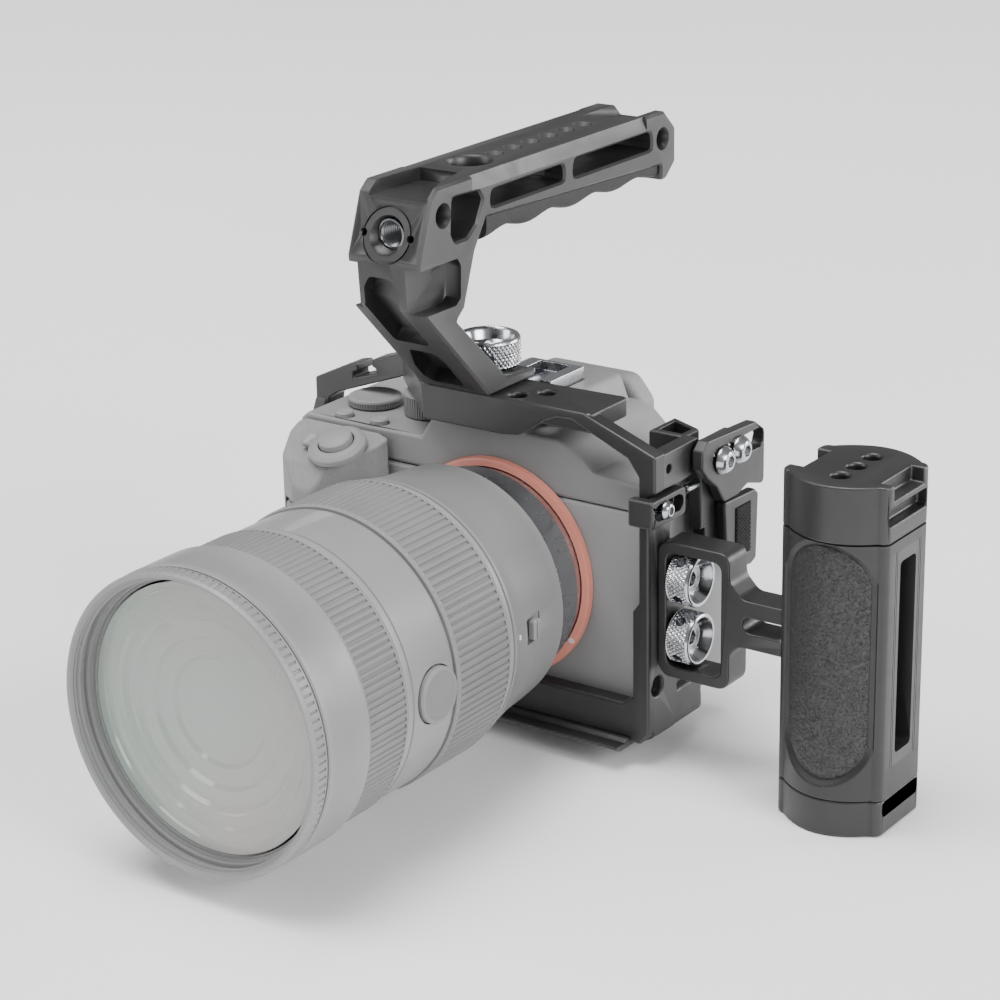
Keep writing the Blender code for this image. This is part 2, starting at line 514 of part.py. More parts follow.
def camera_controls():
    axis = (0, -math.sin(GRIP_SLOPE), math.cos(GRIP_SLOPE))
    lever = turned([(5.7, 0.4), (9.2, 0.4), (9.2, 2.2), (7.6, 3.4), (5.7, 3.4)], SHUTTER, axis, 28)
    tab = tilted(box((-62.8, -8.2, 76.3), (-57.4, -3.2, 78.0), 0.4), SHUTTER, GRIP_SLOPE)
    solid("power_lever", BODY, lever, add=[tab], origin=SHUTTER)
    solid("shutter_button", BODY, rod(slope_point(0.8), slope_point(4.8), 5.3, 24, 0.7), origin=SHUTTER)
    solid("front_dial", RUBBER, rod((-57, -7.6, 50.8), (-57, -7.6, 59.2), 10.3, 24, 0.6), origin=(-57, -7.6, 55))
    for name, (x, y) in zip(("custom_button_1", "custom_button_2"), CUSTOM_BUTTONS):
        solid(name, BODY, rod((x, y, DECK_Z - 0.8), (x, y, DECK_Z + 1.4), 2.7), origin=(x, y, DECK_Z))
    x, y = EXPOSURE_DIAL_XY
    solid("exposure_dial", RUBBER, rod((x, y, DECK_Z + GAP), (x, y, 84.2), 8.6, 28, 0.6), origin=(x, y, DECK_Z))
    x, y = MODE_DIAL_XY
    solid("mode_dial", RUBBER, rod((x, y, DECK_Z + GAP), (x, y, 88.6), 9.0, 28, 0.6),
          origin=(x, y, DECK_Z), cut=[rod((x, y, 86.0), (x, y, 92), 3.2)])
    solid("mode_dial_lock", BODY, rod((x, y, 86.9), (x, y, 89.6), 2.9, 16, 0.3), origin=(x, y, 87))
    x, z = RELEASE_XZ
    solid("lens_release_button", BODY, rod((x, 2.0, z), (x, 9.2, z), 4.0, 20, 0.5), origin=(x, 6.0, z))


def camera_back():
    solid("rear_monitor", BODY, box((-37.6, 49.0, 14.4), (37.6, 56.0, 67.6), 0.8), origin=(0, 56.0, 67.0))
    wheel = turned(ring(13.2, 5.2, 52.4, 55.0, 0.5), (-56, 0, 32), (0, 1, 0), 28)
    solid("rear_wheel", RUBBER, wheel, origin=(-56, 54, 32))
    solid("select_button", BODY, rod((-56, 52.9, 32), (-56, 55.2, 32), 4.6, 20, 0.4), origin=(-56, 53, 32))
    solid("eyecup", RUBBER, plate([rounded([(-19, 70.6), (17, 70.6), (22, 77), (22, 87), (16, 94.4), (-15, 94.4), (-22, 90),
                                   (-24, 78)], 4), rounded([(-12, 76), (11, 76), (11, 89), (-12, 89)], 3)],
                         52.4, 60.5, "Y", 1.2))
    solid("viewfinder_window", GLASS, box((-10.2, 52.4, 78.0), (9.2, 54.2, 87.0), 0.4))
    shoe = box((-9.2, 21.0, 95.8), (9.6, 39.0, 100.4))
    tunnel = box((-7.4, 19, 97.6), (7.8, 37.4, 99.2))
    throat = box((-5.2, 19, 98.6), (5.6, 37.4, 103))
    solid("hot_shoe", STEEL, shoe, cut=[tunnel, throat])
    solid("port_door", RUBBER, box((52.6, 18.0, 20.0), (54.3, 41.0, 44.0), 0.3), origin=(53.4, 41.0, 32))
    solid("image_sensor", SENSOR, box((-18.5, 18.0, LENS_Z - 12.5), (18.5, 20.6, LENS_Z + 12.5)))


def camera_mount():
    solid("camera_mount_ring", STEEL, turned([(24.6, 0.3), (31.6, 0.3), (31.6, 5.7), (24.6, 5.7)], steps=24))
    trim = turned(ring(34.4, 31.9, 3.4, 5.7, 0.8))
    solid("mount_trim_ring", ORANGE, trim)


# ---------------------------------------------------------------- lens


def lens():
    solid("lens_mount_flange", STEEL, turned([(24.5, -14.2), (33.0, -14.2), (33.0, -0.4), (32.4, 0), (24.5, 0)]))
    base = [(24.5, -14.5), (37.6, -14.5), (38.2, -20.0), (39.0, -30.0), (40.4, -38.0), (41.6, -43.6), (41.6, -47.2),
            (38.8, -47.2), (38.8, -43.0), (24.5, -40.0)]
    solid("base_barrel", BARREL, turned(base), cut=[box((38.2, -36.6, 42.6), (44, -28.4, 50.4))])
    core = [(38.7, -112.6), (39.9, -112.6), (39.9, -47.5), (38.7, -47.5)]
    button_bore = rod((37, HOLD_BUTTON_Y, LENS_Z), (47, HOLD_BUTTON_Y, LENS_Z), 8.4, 28)
    solid("core_tube", BARREL, turned(core))
    solid("zoom_ring", RING, turned(ring(42.6, 40.3, -73.0, -47.8, 0.6)), origin=(0, -60, LENS_Z))
    solid("mid_barrel", BARREL, turned(ring(41.8, 40.2, -94.8, -73.4, 0.3)), cut=[button_bore])
    solid("focus_ring", RING, turned(ring(42.4, 40.3, -112.8, -95.2, 0.7)), origin=(0, -104, LENS_Z))
    solid("focus_hold_button", RING, rod((41.0, HOLD_BUTTON_Y, LENS_Z), (43.2, HOLD_BUTTON_Y, LENS_Z), 8.0, 28, 0.7),
          origin=(42, HOLD_BUTTON_Y, LENS_Z))
    solid("focus_mode_switch", BARREL, box((38.6, -34.2, 43.6), (40.9, -31.0, 49.4), 0.3), origin=(40, -32.6, 46.5))
    front = [(37.2, -70.0), (38.4, -70.0), (38.4, -113.2), (LENS_R - 0.6, -113.2), (LENS_R, -114.0), (LENS_R, -129.6),
             (LENS_R - 0.6, -130.4), (39.4, -130.4), (38.6, -121.6), (38.6, -121.0), (37.2, -112.0)]
    solid("front_barrel", BARREL, turned(front), origin=(0, -113.2, LENS_Z))
    rim = [(41.4, -130.7), (LENS_R - 0.5, -130.7), (LENS_R - 0.2, -131.4), (LENS_R - 0.2, -135.2),
           (LENS_R - 0.9, LENS_FRONT_Y), (41.8, LENS_FRONT_Y), (40.4, -133.6)]
    solid("filter_ring", BARREL, turned(rim), origin=(0, -133, LENS_Z))
    glass = [(0, -131.4), (14, -130.6), (26, -128.6), (38.1, -125.4), (38.1, -121.4), (0, -121.4)]
    solid("front_element", GLASS, turned(glass), origin=(0, -115, LENS_Z))
    cell = [(36.9, -121.1), (36.9, -72.0), (18.0, -72.0), (18.0, -76.0), (34.6, -118.0)]
    solid("front_element_cell", BARREL, turned(cell), origin=(0, -90, LENS_Z))
    solid("rear_element", GLASS, turned([(0, -12.4), (17, -10.4), (22, -10.4), (22, -5.6), (17, -5.6), (0, -7.0)],
                                        steps=24))
    solid("rear_baffle", BARREL, turned([(22.3, -12.8), (24.2, -12.8), (24.2, -3.0), (22.3, -3.0)], steps=24))


def build():
    cage_frame()
    quick_release_plate()
    tripod_screw()
    side_hook()
    hook_screw()
    cable_clamp()
    side_bracket()
    thumbscrews()
    side_handle()
    top_handle()
    locking_knob()
    camera_shells()
    camera_grip()
    camera_controls()
    camera_back()
    camera_mount()
    lens()


build()
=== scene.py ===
"""Looks of the cinema camera rig: machined metal, knurls, ribs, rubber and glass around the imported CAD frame.

Sizes are in millimetres in the row frame, and the helpers turn them into metres. The origin is under the quick
release plate, +X points to the side handle and the lens points along -Y.
"""
import json
import math

import bmesh
import bpy
from mathutils import Matrix, Vector, noise


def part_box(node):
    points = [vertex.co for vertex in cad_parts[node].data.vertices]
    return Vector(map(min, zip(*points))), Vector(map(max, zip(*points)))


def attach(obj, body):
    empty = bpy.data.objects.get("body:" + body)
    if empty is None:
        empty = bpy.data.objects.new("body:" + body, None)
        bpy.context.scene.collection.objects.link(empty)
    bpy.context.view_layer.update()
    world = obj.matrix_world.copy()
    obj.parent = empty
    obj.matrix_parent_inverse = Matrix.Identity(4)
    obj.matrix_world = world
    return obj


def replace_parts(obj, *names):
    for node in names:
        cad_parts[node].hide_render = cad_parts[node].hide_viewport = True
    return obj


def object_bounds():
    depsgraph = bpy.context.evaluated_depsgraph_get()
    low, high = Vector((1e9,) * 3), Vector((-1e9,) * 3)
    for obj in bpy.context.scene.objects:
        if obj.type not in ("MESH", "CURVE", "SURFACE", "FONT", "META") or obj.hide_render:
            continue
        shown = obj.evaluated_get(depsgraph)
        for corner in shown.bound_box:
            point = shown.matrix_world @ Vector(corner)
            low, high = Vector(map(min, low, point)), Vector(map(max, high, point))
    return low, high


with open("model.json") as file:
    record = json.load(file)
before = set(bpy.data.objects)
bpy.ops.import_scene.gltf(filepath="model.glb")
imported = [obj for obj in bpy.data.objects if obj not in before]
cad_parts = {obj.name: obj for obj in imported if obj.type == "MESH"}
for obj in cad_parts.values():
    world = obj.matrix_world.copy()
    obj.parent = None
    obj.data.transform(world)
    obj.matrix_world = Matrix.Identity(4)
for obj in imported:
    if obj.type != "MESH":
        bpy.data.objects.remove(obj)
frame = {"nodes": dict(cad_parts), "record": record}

CAD_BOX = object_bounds()
MM = 0.001
LENS_Z = 45.0
BODIES = {node: body for body, nodes in frame["record"]["behaviour"]["bodies"].items() for node in nodes}
SLOTS = {part["node"]: part["material_slot"] for part in frame["record"]["subparts"]}
FINE = 160
SHARP = math.radians(32)
MACHINED = math.radians(24)
HARD_EDGE = math.radians(28)
ALMOST_STRAIGHT = 0.64
SHARED_ROOM, WHOLE_ROOM = 0.42, 0.85
SOUND = 1.004
WRINKLE_SEED = 7


# ---------------------------------------------------------------- mesh helpers


def node_box(node):
    """Lowest and highest corner of a CAD node, in millimetres."""
    low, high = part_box(node)
    return low / MM, high / MM


def finish_mesh(bm, name="shape"):
    bmesh.ops.remove_doubles(bm, verts=bm.verts, dist=1e-6)
    bmesh.ops.recalc_face_normals(bm, faces=bm.faces)
    mesh = bpy.data.meshes.new(name)
    bm.to_mesh(mesh)
    bm.free()
    return mesh


def evaluated_mesh(obj):
    """The welded mesh that an object's modifiers make, with the object removed."""
    bpy.context.scene.collection.objects.link(obj)
    bpy.context.view_layer.update()
    graph = bpy.context.evaluated_depsgraph_get()
    mesh = bpy.data.meshes.new_from_object(obj.evaluated_get(graph))
    bpy.data.objects.remove(obj)
    bm = bmesh.new()
    bm.from_mesh(mesh)
    return finish_mesh(bm)


def axis_matrix(origin, direction):
    turn = Vector((0, 0, 1)).rotation_difference(Vector(direction)).to_matrix().to_4x4()
    return Matrix.Translation(Vector(origin) * MM) @ turn


def box(low, high):
    bm = bmesh.new()
    bmesh.ops.create_cube(bm, size=1.0)
    size = [(b - a) * MM for a, b in zip(low, high)]
    centre = [(a + b) / 2 * MM for a, b in zip(low, high)]
    bmesh.ops.transform(bm, matrix=Matrix.Translation(centre) @ Matrix.Diagonal((*size, 1)), verts=bm.verts)
    return finish_mesh(bm)


def rod(start, end, radius, steps=32, far_radius=None):
    """A straight cylinder or cone between two points."""
    axis = Vector(end) - Vector(start)
    bm = bmesh.new()
    far = radius if far_radius is None else far_radius
    bmesh.ops.create_cone(bm, cap_ends=True, segments=steps, radius1=radius * MM, radius2=far * MM,
                          depth=axis.length * MM)
    bmesh.ops.transform(bm, matrix=axis_matrix((Vector(start) + Vector(end)) / 2, axis), verts=bm.verts)
    return finish_mesh(bm)


def lathe(profile, origin=(0, 0, LENS_Z), direction=(0, 1, 0), steps=FINE, relief=None):
    """A closed profile of (radius, distance) points turned about an axis.

    relief(angle, radius, distance) adds height to the outer wall.
    """
    bm = bmesh.new()
    rings = []
    for radius, along in profile:
        if radius < 1e-6:
            rings.append([bm.verts.new((0, 0, along * MM))])
            continue
        points = []
        for step in range(steps):
            angle = math.tau * step / steps
            r = radius + (relief(angle, radius, along) if relief else 0.0)
            points.append(bm.verts.new((r * math.cos(angle) * MM, r * math.sin(angle) * MM, along * MM)))
        rings.append(points)
    for first, second in zip(rings, rings[1:] + rings[:1]):
        if len(first) == len(second) == 1:
            continue
        for step in range(steps):
            after = (step + 1) % steps
            corners = [first[step % len(first)], first[after % len(first)],
                       second[after % len(second)], second[step % len(second)]]
            bm.faces.new(list(dict.fromkeys(corners)))
    mesh = finish_mesh(bm)
    mesh.transform(axis_matrix(origin, direction))
    return mesh


def rounded(points, radius, steps=4):
    """The outline with each corner turned into an arc."""
    outline = []
    for index, corner in enumerate(points):
        here = Vector(corner)
        before = Vector(points[index - 1]) - here
        after = Vector(points[(index + 1) % len(points)]) - here
        half = before.angle(after) / 2
        reach = min(radius / math.tan(half), before.length * 0.45, after.length * 0.45)
        start = here + before.normalized() * reach
        end = here + after.normalized() * reach
        for step in range(steps + 1):
            t = step / steps
            outline.append(tuple(start * (1 - t) ** 2 + here * 2 * t * (1 - t) + end * t ** 2))
    return outline


def stadium(centre, half_length, radius, steps=16):
    """A straight slot's outline: two half circles joined by straight sides."""
    points = []
    for side in (1, -1):
        for step in range(steps + 1):
            angle = math.pi * (step / steps - 0.5) + (0 if side > 0 else math.pi)
            a = side * half_length + radius * math.cos(angle)
            b = radius * math.sin(angle)
            points.append((centre[0] + a, centre[1] + b))
    return points


PLANES = {
    "X": Matrix(((0, 0, 1, 0), (1, 0, 0, 0), (0, 1, 0, 0), (0, 0, 0, 1))),
    "Y": Matrix(((1, 0, 0, 0), (0, 0, 1, 0), (0, 1, 0, 0), (0, 0, 0, 1))),
    "Z": Matrix.Identity(4),
}


def plate(loops, low, high, along):
    """Flat outlines, the first outside and the rest holes, given a thickness along X, Y or Z."""
    curve = bpy.data.curves.new("outline", "CURVE")
    curve.dimensions = "2D"
    curve.fill_mode = "BOTH"
    curve.extrude = (high - low) / 2 * MM
    for loop in loops:
        spline = curve.splines.new("POLY")
        spline.points.add(len(loop) - 1)
        for point, (a, b) in zip(spline.points, loop):
            point.co = (a * MM, b * MM, 0, 1)
        spline.use_cyclic_u = True
    mesh = evaluated_mesh(bpy.data.objects.new("outline", curve))
    mesh.transform(PLANES[along] @ Matrix.Translation((0, 0, (low + high) / 2 * MM)))
    bm = bmesh.new()
    bm.from_mesh(mesh)
    return finish_mesh(bm)


def carved(mesh, cuts):
    """The mesh with some shapes cut away."""
    obj = bpy.data.objects.new("work", mesh)
    tools = []
    for cut in cuts:
        tool = bpy.data.objects.new("tool", cut)
        bpy.context.scene.collection.objects.link(tool)
        tools.append(tool)
        modifier = obj.modifiers.new("cut", "BOOLEAN")
        modifier.object = tool
        modifier.operation = "DIFFERENCE"
        modifier.solver = "EXACT"
    result = evaluated_mesh(obj)
    for tool in tools:
        bpy.data.objects.remove(tool)
    return result


def cad_mesh(node):
    """The CAD node's own shape, welded and with its flat faces whole again."""
    bm = bmesh.new()
    bm.from_mesh(frame["nodes"][node].data)
    bmesh.ops.remove_doubles(bm, verts=bm.verts, dist=2e-6)
    bmesh.ops.dissolve_limit(bm, angle_limit=math.radians(0.6), verts=bm.verts, edges=bm.edges)
    mesh = bpy.data.meshes.new(node)
    bm.to_mesh(mesh)
    bm.free()
    return mesh


def remeshed(mesh, voxel, smooth):
    """A soft copy of a mesh: even small faces, with its corners rubbed round."""
    obj = bpy.data.objects.new("soft", mesh)
    remesh = obj.modifiers.new("Remesh", "REMESH")
    remesh.mode = "VOXEL"
    remesh.voxel_size = voxel * MM
    smoothing = obj.modifiers.new("Smooth", "SMOOTH")
    smoothing.iterations = smooth
    smoothing.factor = 0.5
    return evaluated_mesh(obj)


def room_beside(edge, hard, width):
    """How far a hard edge can be rounded before it meets its neighbours."""
    space = width
    for vertex in edge.verts:
        along = (edge.other_vert(vertex).co - vertex.co).normalized()
        for face in edge.link_faces:
            for other in face.edges:
                if other is edge or vertex not in other.verts:
                    continue
                away = other.other_vert(vertex).co - vertex.co
                sine = along.cross(away.normalized()).length
                if other in hard and along.dot(away) < 0 and sine < ALMOST_STRAIGHT:
                    continue
                far_hard = any(e in hard for e in other.other_vert(vertex).link_edges)
                space = min(space, (SHARED_ROOM if far_hard else WHOLE_ROOM) * away.length * sine)
    return space


def ready_to_round(mesh, width, faces):
    """A copy of the mesh with a bevel weight on each hard edge.

    faces says how its flat faces are cut up: "whole", "as they are" or "triangles".
    """
    bm = bmesh.new()
    bm.from_mesh(mesh)
    bmesh.ops.remove_doubles(bm, verts=bm.verts, dist=2e-5)
    bmesh.ops.dissolve_degenerate(bm, edges=bm.edges, dist=1e-5)
    if faces == "whole":
        bmesh.ops.dissolve_limit(bm, angle_limit=math.radians(1.0), verts=bm.verts, edges=bm.edges)
    if faces == "triangles":
        bmesh.ops.triangulate(bm, faces=bm.faces)
    weights = bm.edges.layers.float.new("bevel_weight_edge")
    hard = {e for e in bm.edges if e.is_manifold and e.calc_face_angle() > HARD_EDGE}
    for edge in hard:
        edge[weights] = room_beside(edge, hard, width * MM) / (width * MM)
    result = bpy.data.meshes.new(mesh.name)
    bm.to_mesh(result)
    bm.free()
    return result


def surface(mesh):
    mesh.calc_loop_triangles()
    return sum(triangle.area for triangle in mesh.loop_triangles)


def round_edges(obj, width, segments):
    """Bevels the hard edges, with the face layout whose bevelled surface folds least."""
    plain = obj.data
    found = []
    bevel = obj.modifiers.new("Bevel", "BEVEL")
    bevel.width = width * MM
    bevel.segments = segments
    bevel.limit_method = "WEIGHT"
    bevel.use_clamp_overlap = False
    flat = obj.modifiers.new("Flat faces", "WEIGHTED_NORMAL")
    flat.keep_sharp = False
    flat.weight = 100
    for faces in ("whole", "as they are", "triangles"):
        obj.data = ready_to_round(plain, width, faces)
        obj.data.materials.append(plain.materials[0])
        obj.data.shade_smooth()
        shown = obj.evaluated_get(bpy.context.evaluated_depsgraph_get())
        found.append((surface(shown.to_mesh()), len(found), obj.data))
        shown.to_mesh_clear()
        if found[-1][0] < surface(plain) * SOUND:
            break
    obj.data = min(found)[2]


def piece(name, mesh, material, body, edge=0.0, segments=2, sharp=SHARP):
    """A shown piece on a body, with its hard edges rounded by a Bevel of the given width."""
    obj = bpy.data.objects.new(name, mesh)
    bpy.context.scene.collection.objects.link(obj)
    mesh.materials.clear()
    mesh.materials.append(material)
    mesh.shade_smooth()
    mesh.set_sharp_from_angle(angle=sharp)
    if edge:
        round_edges(obj, edge, segments)
    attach(obj, body)
    return obj


def visual(node, mesh, edge=0.0, material=None, segments=2, sharp=SHARP):
    """The piece that stands for one CAD node."""
    slot = SLOTS[node]
    obj = piece(node + "_visual", mesh, material or FINISH[slot], BODIES[node], edge, segments, sharp)
    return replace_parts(obj, node)


def detail(name, node, mesh, material):
    """A small extra piece that rides with a CAD node."""
    return piece(name, mesh, material, BODIES[node])


# ---------------------------------------------------------------- materials


class Graph:
    """A short way to add and link shader nodes."""

    def __init__(self, name):
        self.material = bpy.data.materials.new(name)
        self.material.use_nodes = True
        self.tree = self.material.node_tree
        self.shader = self.tree.nodes["Principled BSDF"]
        self.coordinates = self.tree.nodes.new("ShaderNodeTexCoord").outputs["Object"]

    def node(self, kind, **settings):
        node = self.tree.nodes.new(kind)
        for key, value in settings.items():
            if key.startswith("in_"):
                node.inputs[key[3:].replace("_", " ")].default_value = value
            else:
                setattr(node, key, value)
        return node

    def link(self, source, target):
        self.tree.links.new(source, target)

    def noise(self, scale, detail=3.0, roughness=0.5, stretch=None):
        texture = self.node("ShaderNodeTexNoise", in_Scale=scale, in_Detail=detail, in_Roughness=roughness)
        source = self.coordinates
        if stretch:
            mapping = self.node("ShaderNodeMapping", in_Scale=stretch)
            self.link(source, mapping.inputs["Vector"])
            source = mapping.outputs["Vector"]
        self.link(source, texture.inputs["Vector"])
        return texture.outputs["Fac"]

    def remap(self, value, low, high, start=0.3, end=0.7):
        node = self.node("ShaderNodeMapRange")
        node.inputs["From Min"].default_value = start
        node.inputs["From Max"].default_value = end
        node.inputs["To Min"].default_value = low
        node.inputs["To Max"].default_value = high
        self.link(value, node.inputs["Value"])
        return node.outputs["Result"]

    def mix(self, factor, first, second):
        """A blend of two colours, each an (r, g, b) or a socket."""
        node = self.node("ShaderNodeMix", data_type="RGBA")
        self.link(factor, node.inputs["Factor"])
        for index, colour in ((6, first), (7, second)):
            if isinstance(colour, tuple):
                node.inputs[index].default_value = (*colour, 1.0)
            else:
                self.link(colour, node.inputs[index])
        return node.outputs[2]

    def bump(self, height, strength, distance, under=None):
        node = self.node("ShaderNodeBump", in_Strength=strength, in_Distance=distance * MM)
        self.link(height, node.inputs["Height"])
        if under:
            self.link(under, node.inputs["Normal"])
        return node.outputs["Normal"]

    def finish(self, colour, roughness, normal=None, metallic=0.0, **sockets):
        self.link(colour, self.shader.inputs["Base Color"])
        self.link(roughness, self.shader.inputs["Roughness"])
        if normal:
            self.link(normal, self.shader.inputs["Normal"])
        self.shader.inputs["Metallic"].default_value = metallic
        for key, value in sockets.items():
            self.shader.inputs[key.replace("_", " ")].default_value = value
        return self.material


def satin(name, dark, light, edge, roughness, grain, depth, metallic=0.0, **sockets):
    """Blasted and coated metal or moulded plastic: mottled tone, edges painted paler as a highlight, and a fine
    even grain.
    """
    graph = Graph(name)
    cloud = graph.remap(graph.noise(45.0, 4.0), 0.0, 1.0)
    tone = graph.mix(cloud, dark, light)
    # Painted highlight: pointy edges, found by pointiness, are mixed towards the paler edge colour.
    corners = graph.node("ShaderNodeNewGeometry").outputs["Pointiness"]
    painted_edge_highlight = graph.remap(corners, 0.0, 1.0, 0.52, 0.60)
    tone = graph.mix(painted_edge_highlight, tone, edge)
    fine = graph.noise(grain, 2.0, 0.6)
    rough = graph.remap(graph.noise(160.0, 3.0), roughness - 0.04, roughness + 0.05)
    return graph.finish(tone, rough, graph.bump(fine, 0.35, depth), metallic, **sockets)


def brushed(name, colour, roughness):
    """Turned steel with fine marks and slightly uneven polish."""
    graph = Graph(name)
    tone = graph.mix(graph.remap(graph.noise(90.0, 3.0), 0.0, 1.0), tuple(0.86 * c for c in colour), colour)
    marks = graph.noise(900.0, 2.0, 0.5, (1.0, 0.08, 0.08))
    rough = graph.remap(graph.noise(300.0, 2.0), roughness - 0.05, roughness + 0.08)
    return graph.finish(tone, rough, graph.bump(marks, 0.2, 0.02), 1.0)


def stippled_rubber(name, dark, light, roughness, cell, depth):
    """Rubber with small raised grains."""
    graph = Graph(name)
    cells = graph.node("ShaderNodeTexVoronoi", in_Scale=cell, feature="SMOOTH_F1")
    graph.link(graph.coordinates, cells.inputs["Vector"])
    grain = graph.noise(cell * 1.7, 2.0, 0.6)
    tone = graph.mix(graph.remap(cells.outputs["Distance"], 0.0, 1.0, 0.1, 0.7), light, dark)
    tone = graph.mix(graph.remap(graph.noise(60.0, 3.0), 0.0, 0.35), tone, light)
    rough = graph.remap(grain, roughness - 0.05, roughness + 0.06)
    first = graph.bump(cells.outputs["Distance"], 0.6, depth)
    return graph.finish(tone, rough, graph.bump(grain, 0.3, depth * 0.5, first))


def coated_glass(name, colour, reflection_tint, alpha):
    """Coated lens glass, seen through in part: pale green with a warmer tint mixed in by noise as a painted
    coating reflection.
    """
    graph = Graph(name)
    # Painted reflection: noisy patches of the warmer coating tint are mixed into the glass colour.
    drift = graph.remap(graph.noise(16.0, 1.0), 0.0, 1.0, 0.35, 0.65)
    tone = graph.mix(drift, colour, reflection_tint)
    rough = graph.remap(graph.noise(200.0, 2.0), 0.03, 0.07)
    return graph.finish(tone, rough, None, 0.0, Alpha=alpha, IOR=1.55, Coat_Weight=0.6, Coat_Roughness=0.03)


# The third colour of each satin finish is the painted edge highlight.
FINISH = {
    "black_anodised": satin("black_anodised", (0.011, 0.011, 0.0115), (0.016, 0.016, 0.0165),
                            (0.05, 0.05, 0.052), 0.40, 5200.0, 0.015, 0.0, Specular_IOR_Level=0.6),
    "silver_steel": brushed("silver_steel", (0.55, 0.56, 0.585), 0.22),
    "grip_pad": stippled_rubber("grip_pad", (0.006, 0.006, 0.0065), (0.022, 0.022, 0.0225), 0.7, 2000.0, 0.2),
    "camera_shell": satin("camera_shell", (0.21, 0.21, 0.213), (0.235, 0.235, 0.238), (0.30, 0.30, 0.30),
                          0.5, 2600.0, 0.05, Specular_IOR_Level=0.35),
    "camera_rubber": stippled_rubber("camera_rubber", (0.20, 0.20, 0.203), (0.235, 0.235, 0.235), 0.62,
                                     1500.0, 0.05),
    "lens_barrel": satin("lens_barrel", (0.185, 0.185, 0.188), (0.205, 0.205, 0.208), (0.28, 0.28, 0.28),
                         0.36, 3600.0, 0.03, Specular_IOR_Level=0.4),
    "lens_rubber": satin("lens_rubber", (0.165, 0.165, 0.167), (0.19, 0.19, 0.192), (0.25, 0.25, 0.25),
                         0.6, 3000.0, 0.04, Specular_IOR_Level=0.35),
    "lens_glass": coated_glass("lens_glass", (0.40, 0.47, 0.43), (0.47, 0.43, 0.43), 0.22),
    "mount_orange": satin("mount_orange", (0.55, 0.17, 0.12), (0.62, 0.20, 0.15), (0.70, 0.28, 0.22),
                          0.38, 4000.0, 0.02),
    "sensor_surface": satin("sensor_surface", (0.05, 0.07, 0.08), (0.06, 0.08, 0.09), (0.1, 0.1, 0.1),
                            0.15, 900.0, 0.01),
}
MARK = satin("pale_mark", (0.60, 0.60, 0.59), (0.66, 0.66, 0.65), (0.7, 0.7, 0.7), 0.45, 3000.0, 0.01)
DARK_STEEL = brushed("dark_steel", (0.22, 0.225, 0.235), 0.28)
INNER_GLASS = coated_glass("inner_glass", (0.42, 0.50, 0.45), (0.50, 0.50, 0.47), 1.0)


# ---------------------------------------------------------------- lens


def ribs(count, depth, low, high, wall, land=0.62):
    """Relief of straight ribs along the axis, between two distances on the outer wall."""
    def relief(angle, radius, along):
        if not low < along < high or radius < wall - 0.01:
            return 0.0
        phase = (angle / math.tau * count) % 1.0
        return 0.0 if phase < land else -depth
    return relief


def knurl(count, pitch, depth, low, high, wall):
    """Relief of a diamond knurl between two distances on the outer wall."""
    def relief(angle, radius, along):
        if not low < along < high or radius < wall - 0.01:
            return 0.0
        turn = angle / math.tau * count
        slope = along / pitch
        first = abs((turn + slope) % 1.0 - 0.5) * 2
        second = abs((turn - slope) % 1.0 - 0.5) * 2
        return -depth * (1.0 - min(1.0, 2.2 * min(first, second)))
    return relief


def band(radius, low, high, rows):
    """Evenly spaced profile points along a straight stretch."""
    return [(radius, low + (high - low) * row / rows) for row in range(rows + 1)]


def ribbed_ring(node, count, depth, margin):
    """A rubber lens ring with ribs between two plain edges."""
    low, high = node_box(node)
    outer = (high.x - low.x) / 2
    y0, y1 = low.y, high.y
    inner = 40.3
    lip = 0.5
    profile = [(inner, y0), (outer - lip, y0), (outer, y0 + lip), (outer, y0 + margin),
               (outer, y0 + margin + 0.02), (outer, y1 - margin - 0.02), (outer, y1 - margin),
               (outer, y1 - lip), (outer - lip, y1), (inner, y1)]
    relief = ribs(count, depth, y0 + margin + 0.01, y1 - margin - 0.01, outer)
    visual(node, lathe(profile, steps=count * 8, relief=relief), sharp=math.radians(25))


def hood_groove(angle, radius, along):
    """The hood's bayonet groove: a sunk arc on the upper right of the front barrel."""
    from_top = (angle - math.radians(115)) % math.tau
    inside = -127.55 < along < -126.25 and radius > 43.0 and from_top < math.radians(75)
    return -0.9 if inside else 0.0


def front_glass():
    """A coated dome in front of a stack of paler inner rings that step back into the lens."""
    dome = [(0, -131.6), (8, -131.5), (16, -131.2), (24, -130.7), (32, -130.0), (38.5, -129.2),
            (38.5, -128.8), (31.6, -129.6), (23.7, -130.3), (15.8, -130.8), (7.9, -131.1), (0, -131.2)]
    visual("front_element", lathe(dome, steps=144), sharp=math.radians(50))
    steps = [(38.4, -128.3), (36.4, -128.1), (36.0, -127.4), (33.0, -127.1)]
    rings = [(33.0, 1.1), (28.0, 1.3), (22.5, 1.3), (16.5, 1.1)]
    depth = -127.1
    for radius, drop in rings:
        steps += [(radius - 0.1, depth + 0.1), (radius - 0.5, depth + 0.05), (radius - 1.4, depth + drop)]
        depth += drop
        steps.append((radius - 4.6, depth - 0.2))
    steps += [(6.0, depth - 0.3), (0, depth - 0.3), (0, depth + 1.0), (38.0, -121.4)]
    detail("inner_glass", "front_element", lathe(steps, steps=144), material=INNER_GLASS)


